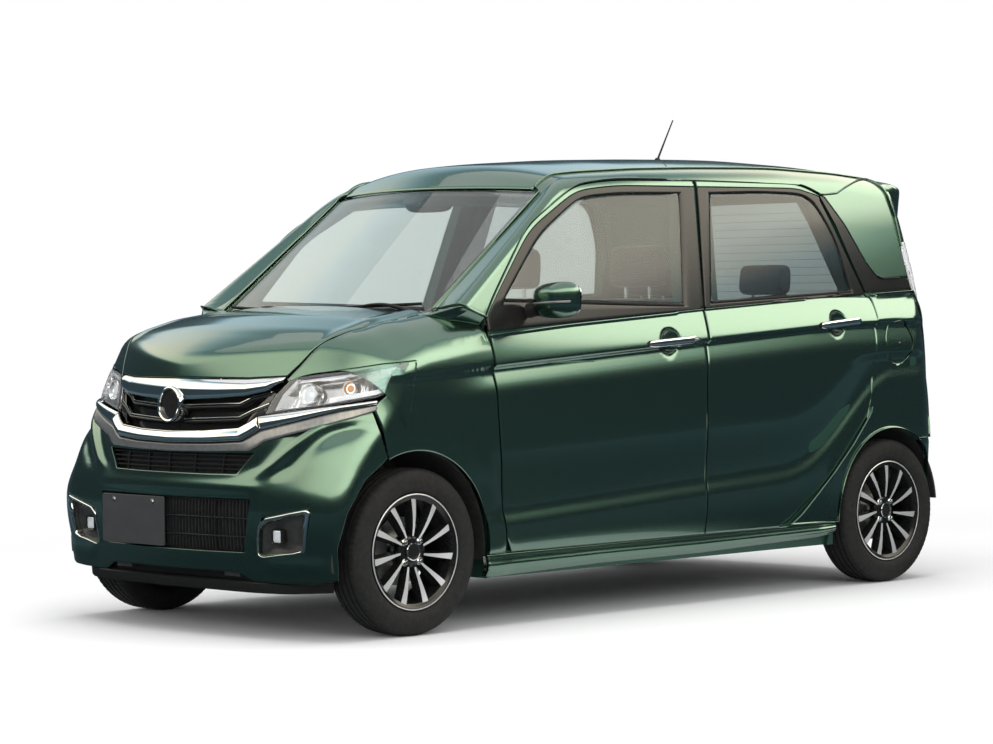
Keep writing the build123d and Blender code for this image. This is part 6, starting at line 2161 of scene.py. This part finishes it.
def rearBumperSkin():
    z = np.concatenate([np.linspace(186, 240, 9), np.linspace(250, 552, 36)])
    r = lines["rearArch"] - 4
    y = lines["rearAxle"] + np.sqrt(r ** 2 - (z - lines["archZ"]) ** 2)
    start = tailAngle(cabinSide(np.stack([y, z], axis=1)))
    a = start * (1 - np.linspace(0, 1, 90)[:, None]) ** 1.15
    p = tailPlan(a, z + 0 * a)
    shelf = (7.0 * smoothStep(552, 536, z) * smoothStep(430, 500, z) + 5.0 * bump(z, 330, 30)
             - 16 * smoothStep(236, 186, z) ** 1.5)
    p = p + slopeOf(cabinField, p) * (shelf * smoothStep(0.0, 0.25, (start - a) / start))[..., None]
    p[..., 1] = np.minimum(p[..., 1], 1697.0)
    p[..., 0] = np.minimum(p[..., 0], lines["widest"])
    full = np.concatenate([p, (p[::-1] * (-1, 1, 1))[1:]])
    obj = panel("skin_rear_bumper", full, "paint", depth=16)
    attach(obj, "body")
    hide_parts("rear_bumper")
    strip = [pathParts(tailPlan(np.linspace(x0, x1, 14), np.full(14, 470.0)) + np.array([0, 2.0, 0]), 14, 14)
             for x0, x1 in ((0.52, 0.72), (-0.72, -0.52))]
    solid("rear_reflectors", strip, "redLens", "body")


# round lid in the quarter: the skin's hole is cut by a drum, and the lid is the piece that fills it
def fuelLid():
    centre, radius = (1367.0, 935.0), 85.0
    cutAway(bpy.data.objects["skin_quarter_left"], [rodParts((600, *centre), (900, *centre), radius, 96)])
    r = np.concatenate([[0.5], np.linspace(6, radius - 2.2, 16)])[None, :]
    t = np.linspace(0, 2 * math.pi, 97)[:, None]
    disc = cabinSide(np.stack([centre[0] + r * np.cos(t), centre[1] + r * np.sin(t)], axis=-1))
    obj = surface("skin_fuel_lid", disc[:-1], "paint", closeU=True)
    flipIfInward(obj, (0, centre[0], centre[1]))
    addModifier(obj, "SOLIDIFY", thickness=5 * mm, offset=-1)
    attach(obj, "fuel_lid")
    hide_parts("fuel_lid")


core("tailgate", cabinField, 16.0, "jambPaint", "tailgate")
tailgateSkins()
spoilerSkin()
tailCorners()
rearBumperSkin()
fuelLid()
print("tail made")


# ---------- interior and the nodes that are shown as the CAD gives them
carried = {
    "underbody": ["floor_pan", "front_subframe", "rear_axle", "fuel_tank", "wheelhouse_liners"],
    "jambPaint": ["rear_panel"],
    "trimPlastic": ["cowl", "dashboard", "steering_wheel"],
    "castMetal": ["engine", "exhaust", "knuckle_left", "knuckle_right"],
}


def dressCarried():
    for key, nodes in carried.items():
        for node in nodes:
            obj = bpy.data.objects[node]
            for place in range(max(1, len(obj.material_slots))):
                if obj.material_slots:
                    obj.material_slots[place].material = materials[key]
                else:
                    obj.data.materials.append(materials[key])


# a stuffed block on a rounded outline seen from the side: rings across it, drawn in and lower towards its
# ends, with sewn channels that dent its face
def cushion(name, side, x0, x1, material, node=None, channels=3):
    loop = roundedLine(side, close=True)
    loop = along(loop, 97)[:-1]
    middle = loop.mean(0)
    s = np.linspace(-1, 1, 41)
    full = np.clip(1 - np.abs(s) ** 7, 0, 1) ** 0.42
    seams = np.zeros(len(s))
    for at in np.linspace(-0.55, 0.55, channels):
        seams = seams + 5.0 * bump(s, at, 0.03)
    scale = 0.86 + 0.14 * full
    away = loop - middle
    reach = np.linalg.norm(away, axis=1, keepdims=True)
    swell = 1 + 5.0 / reach
    yz = middle + (away * swell)[None] * scale[:, None, None] - (away / reach)[None] * seams[:, None, None]
    x = (x0 + x1) / 2 + (x1 - x0) / 2 * s
    p = np.concatenate([np.broadcast_to(x[:, None, None], yz.shape[:2] + (1,)), yz], axis=-1)
    obj = solid(name, [tubeParts(p)], material, "body", node)
    return obj


seatShapes = {"front": {"places": (-330, 330), "half": (236, 226, 120),
                        "cushion": [(-270, 402, 30), (-276, 524, 40), (-200, 556, 60), (150, 526, 80),
                                    (208, 554, 20), (236, 422, 40)],
                        "back": [(172, 544, 20), (296, 474, 50), (334, 900, 200), (340, 1104, 30),
                                 (276, 1112, 38), (216, 820, 200)],
                        "head": [(270, 1164, 24), (328, 1154, 24), (334, 1302, 30), (284, 1308, 30)],
                        "posts": (300, 1090, 1180)}, "rear": {"places": (-300, 300), "half": (284, 280, 110),
                                                              "cushion": [(566, 420, 20), (560, 536, 40),
                                                                          (620, 566, 60), (974, 548, 30),
                                                                          (978, 420, 20)],
                                                              "back": [(956, 546, 24), (1086, 546, 24),
                                                                       (1106, 1072, 40), (1036, 1084, 40)],
                                                              "head": [(1040, 1132, 22), (1092, 1126, 22),
                                                                       (1098, 1232, 26), (1054, 1238, 26)],
                                                              "posts": (1068, 1060, 1150)},}


def seatFittings():
    for row, shape in seatShapes.items():
        node = "front_seats" if row == "front" else "rear_seat"
        for k, x in enumerate(shape["places"]):
            label = f"{row}_{'right' if k == 0 else 'left'}"
            wide, back, head = shape["half"]
            cushion(f"seat_cushion_{label}", shape["cushion"], x - wide, x + wide, "seatCloth", node)
            cushion(f"seat_back_{label}", shape["back"], x - back, x + back, "seatCloth")
            cushion(f"head_rest_{label}", shape["head"], x - head, x + head, "seatCloth", channels=0)
            y, z0, z1 = shape["posts"]
            posts = [rodParts((x + d, y, z0), (x + d, y, z1), 6.5, 16) for d in (-60, 60)]
            solid(f"head_rest_posts_{label}", posts, "satinChrome", "body")
    base = [boxParts((x - 196, -216, 268), (x + 196, 196, 412)) for x in seatShapes["front"]["places"]]
    solid("seat_bases", base, "trimPlastic", "body", bevel=8.0)
    base = [boxParts((x - 280, 580, 380), (x + 280, 970, 432)) for x in seatShapes["rear"]["places"]]
    solid("rear_seat_base", base, "trimPlastic", "body", bevel=8.0)


dressCarried()
seatFittings()
print("interior made")
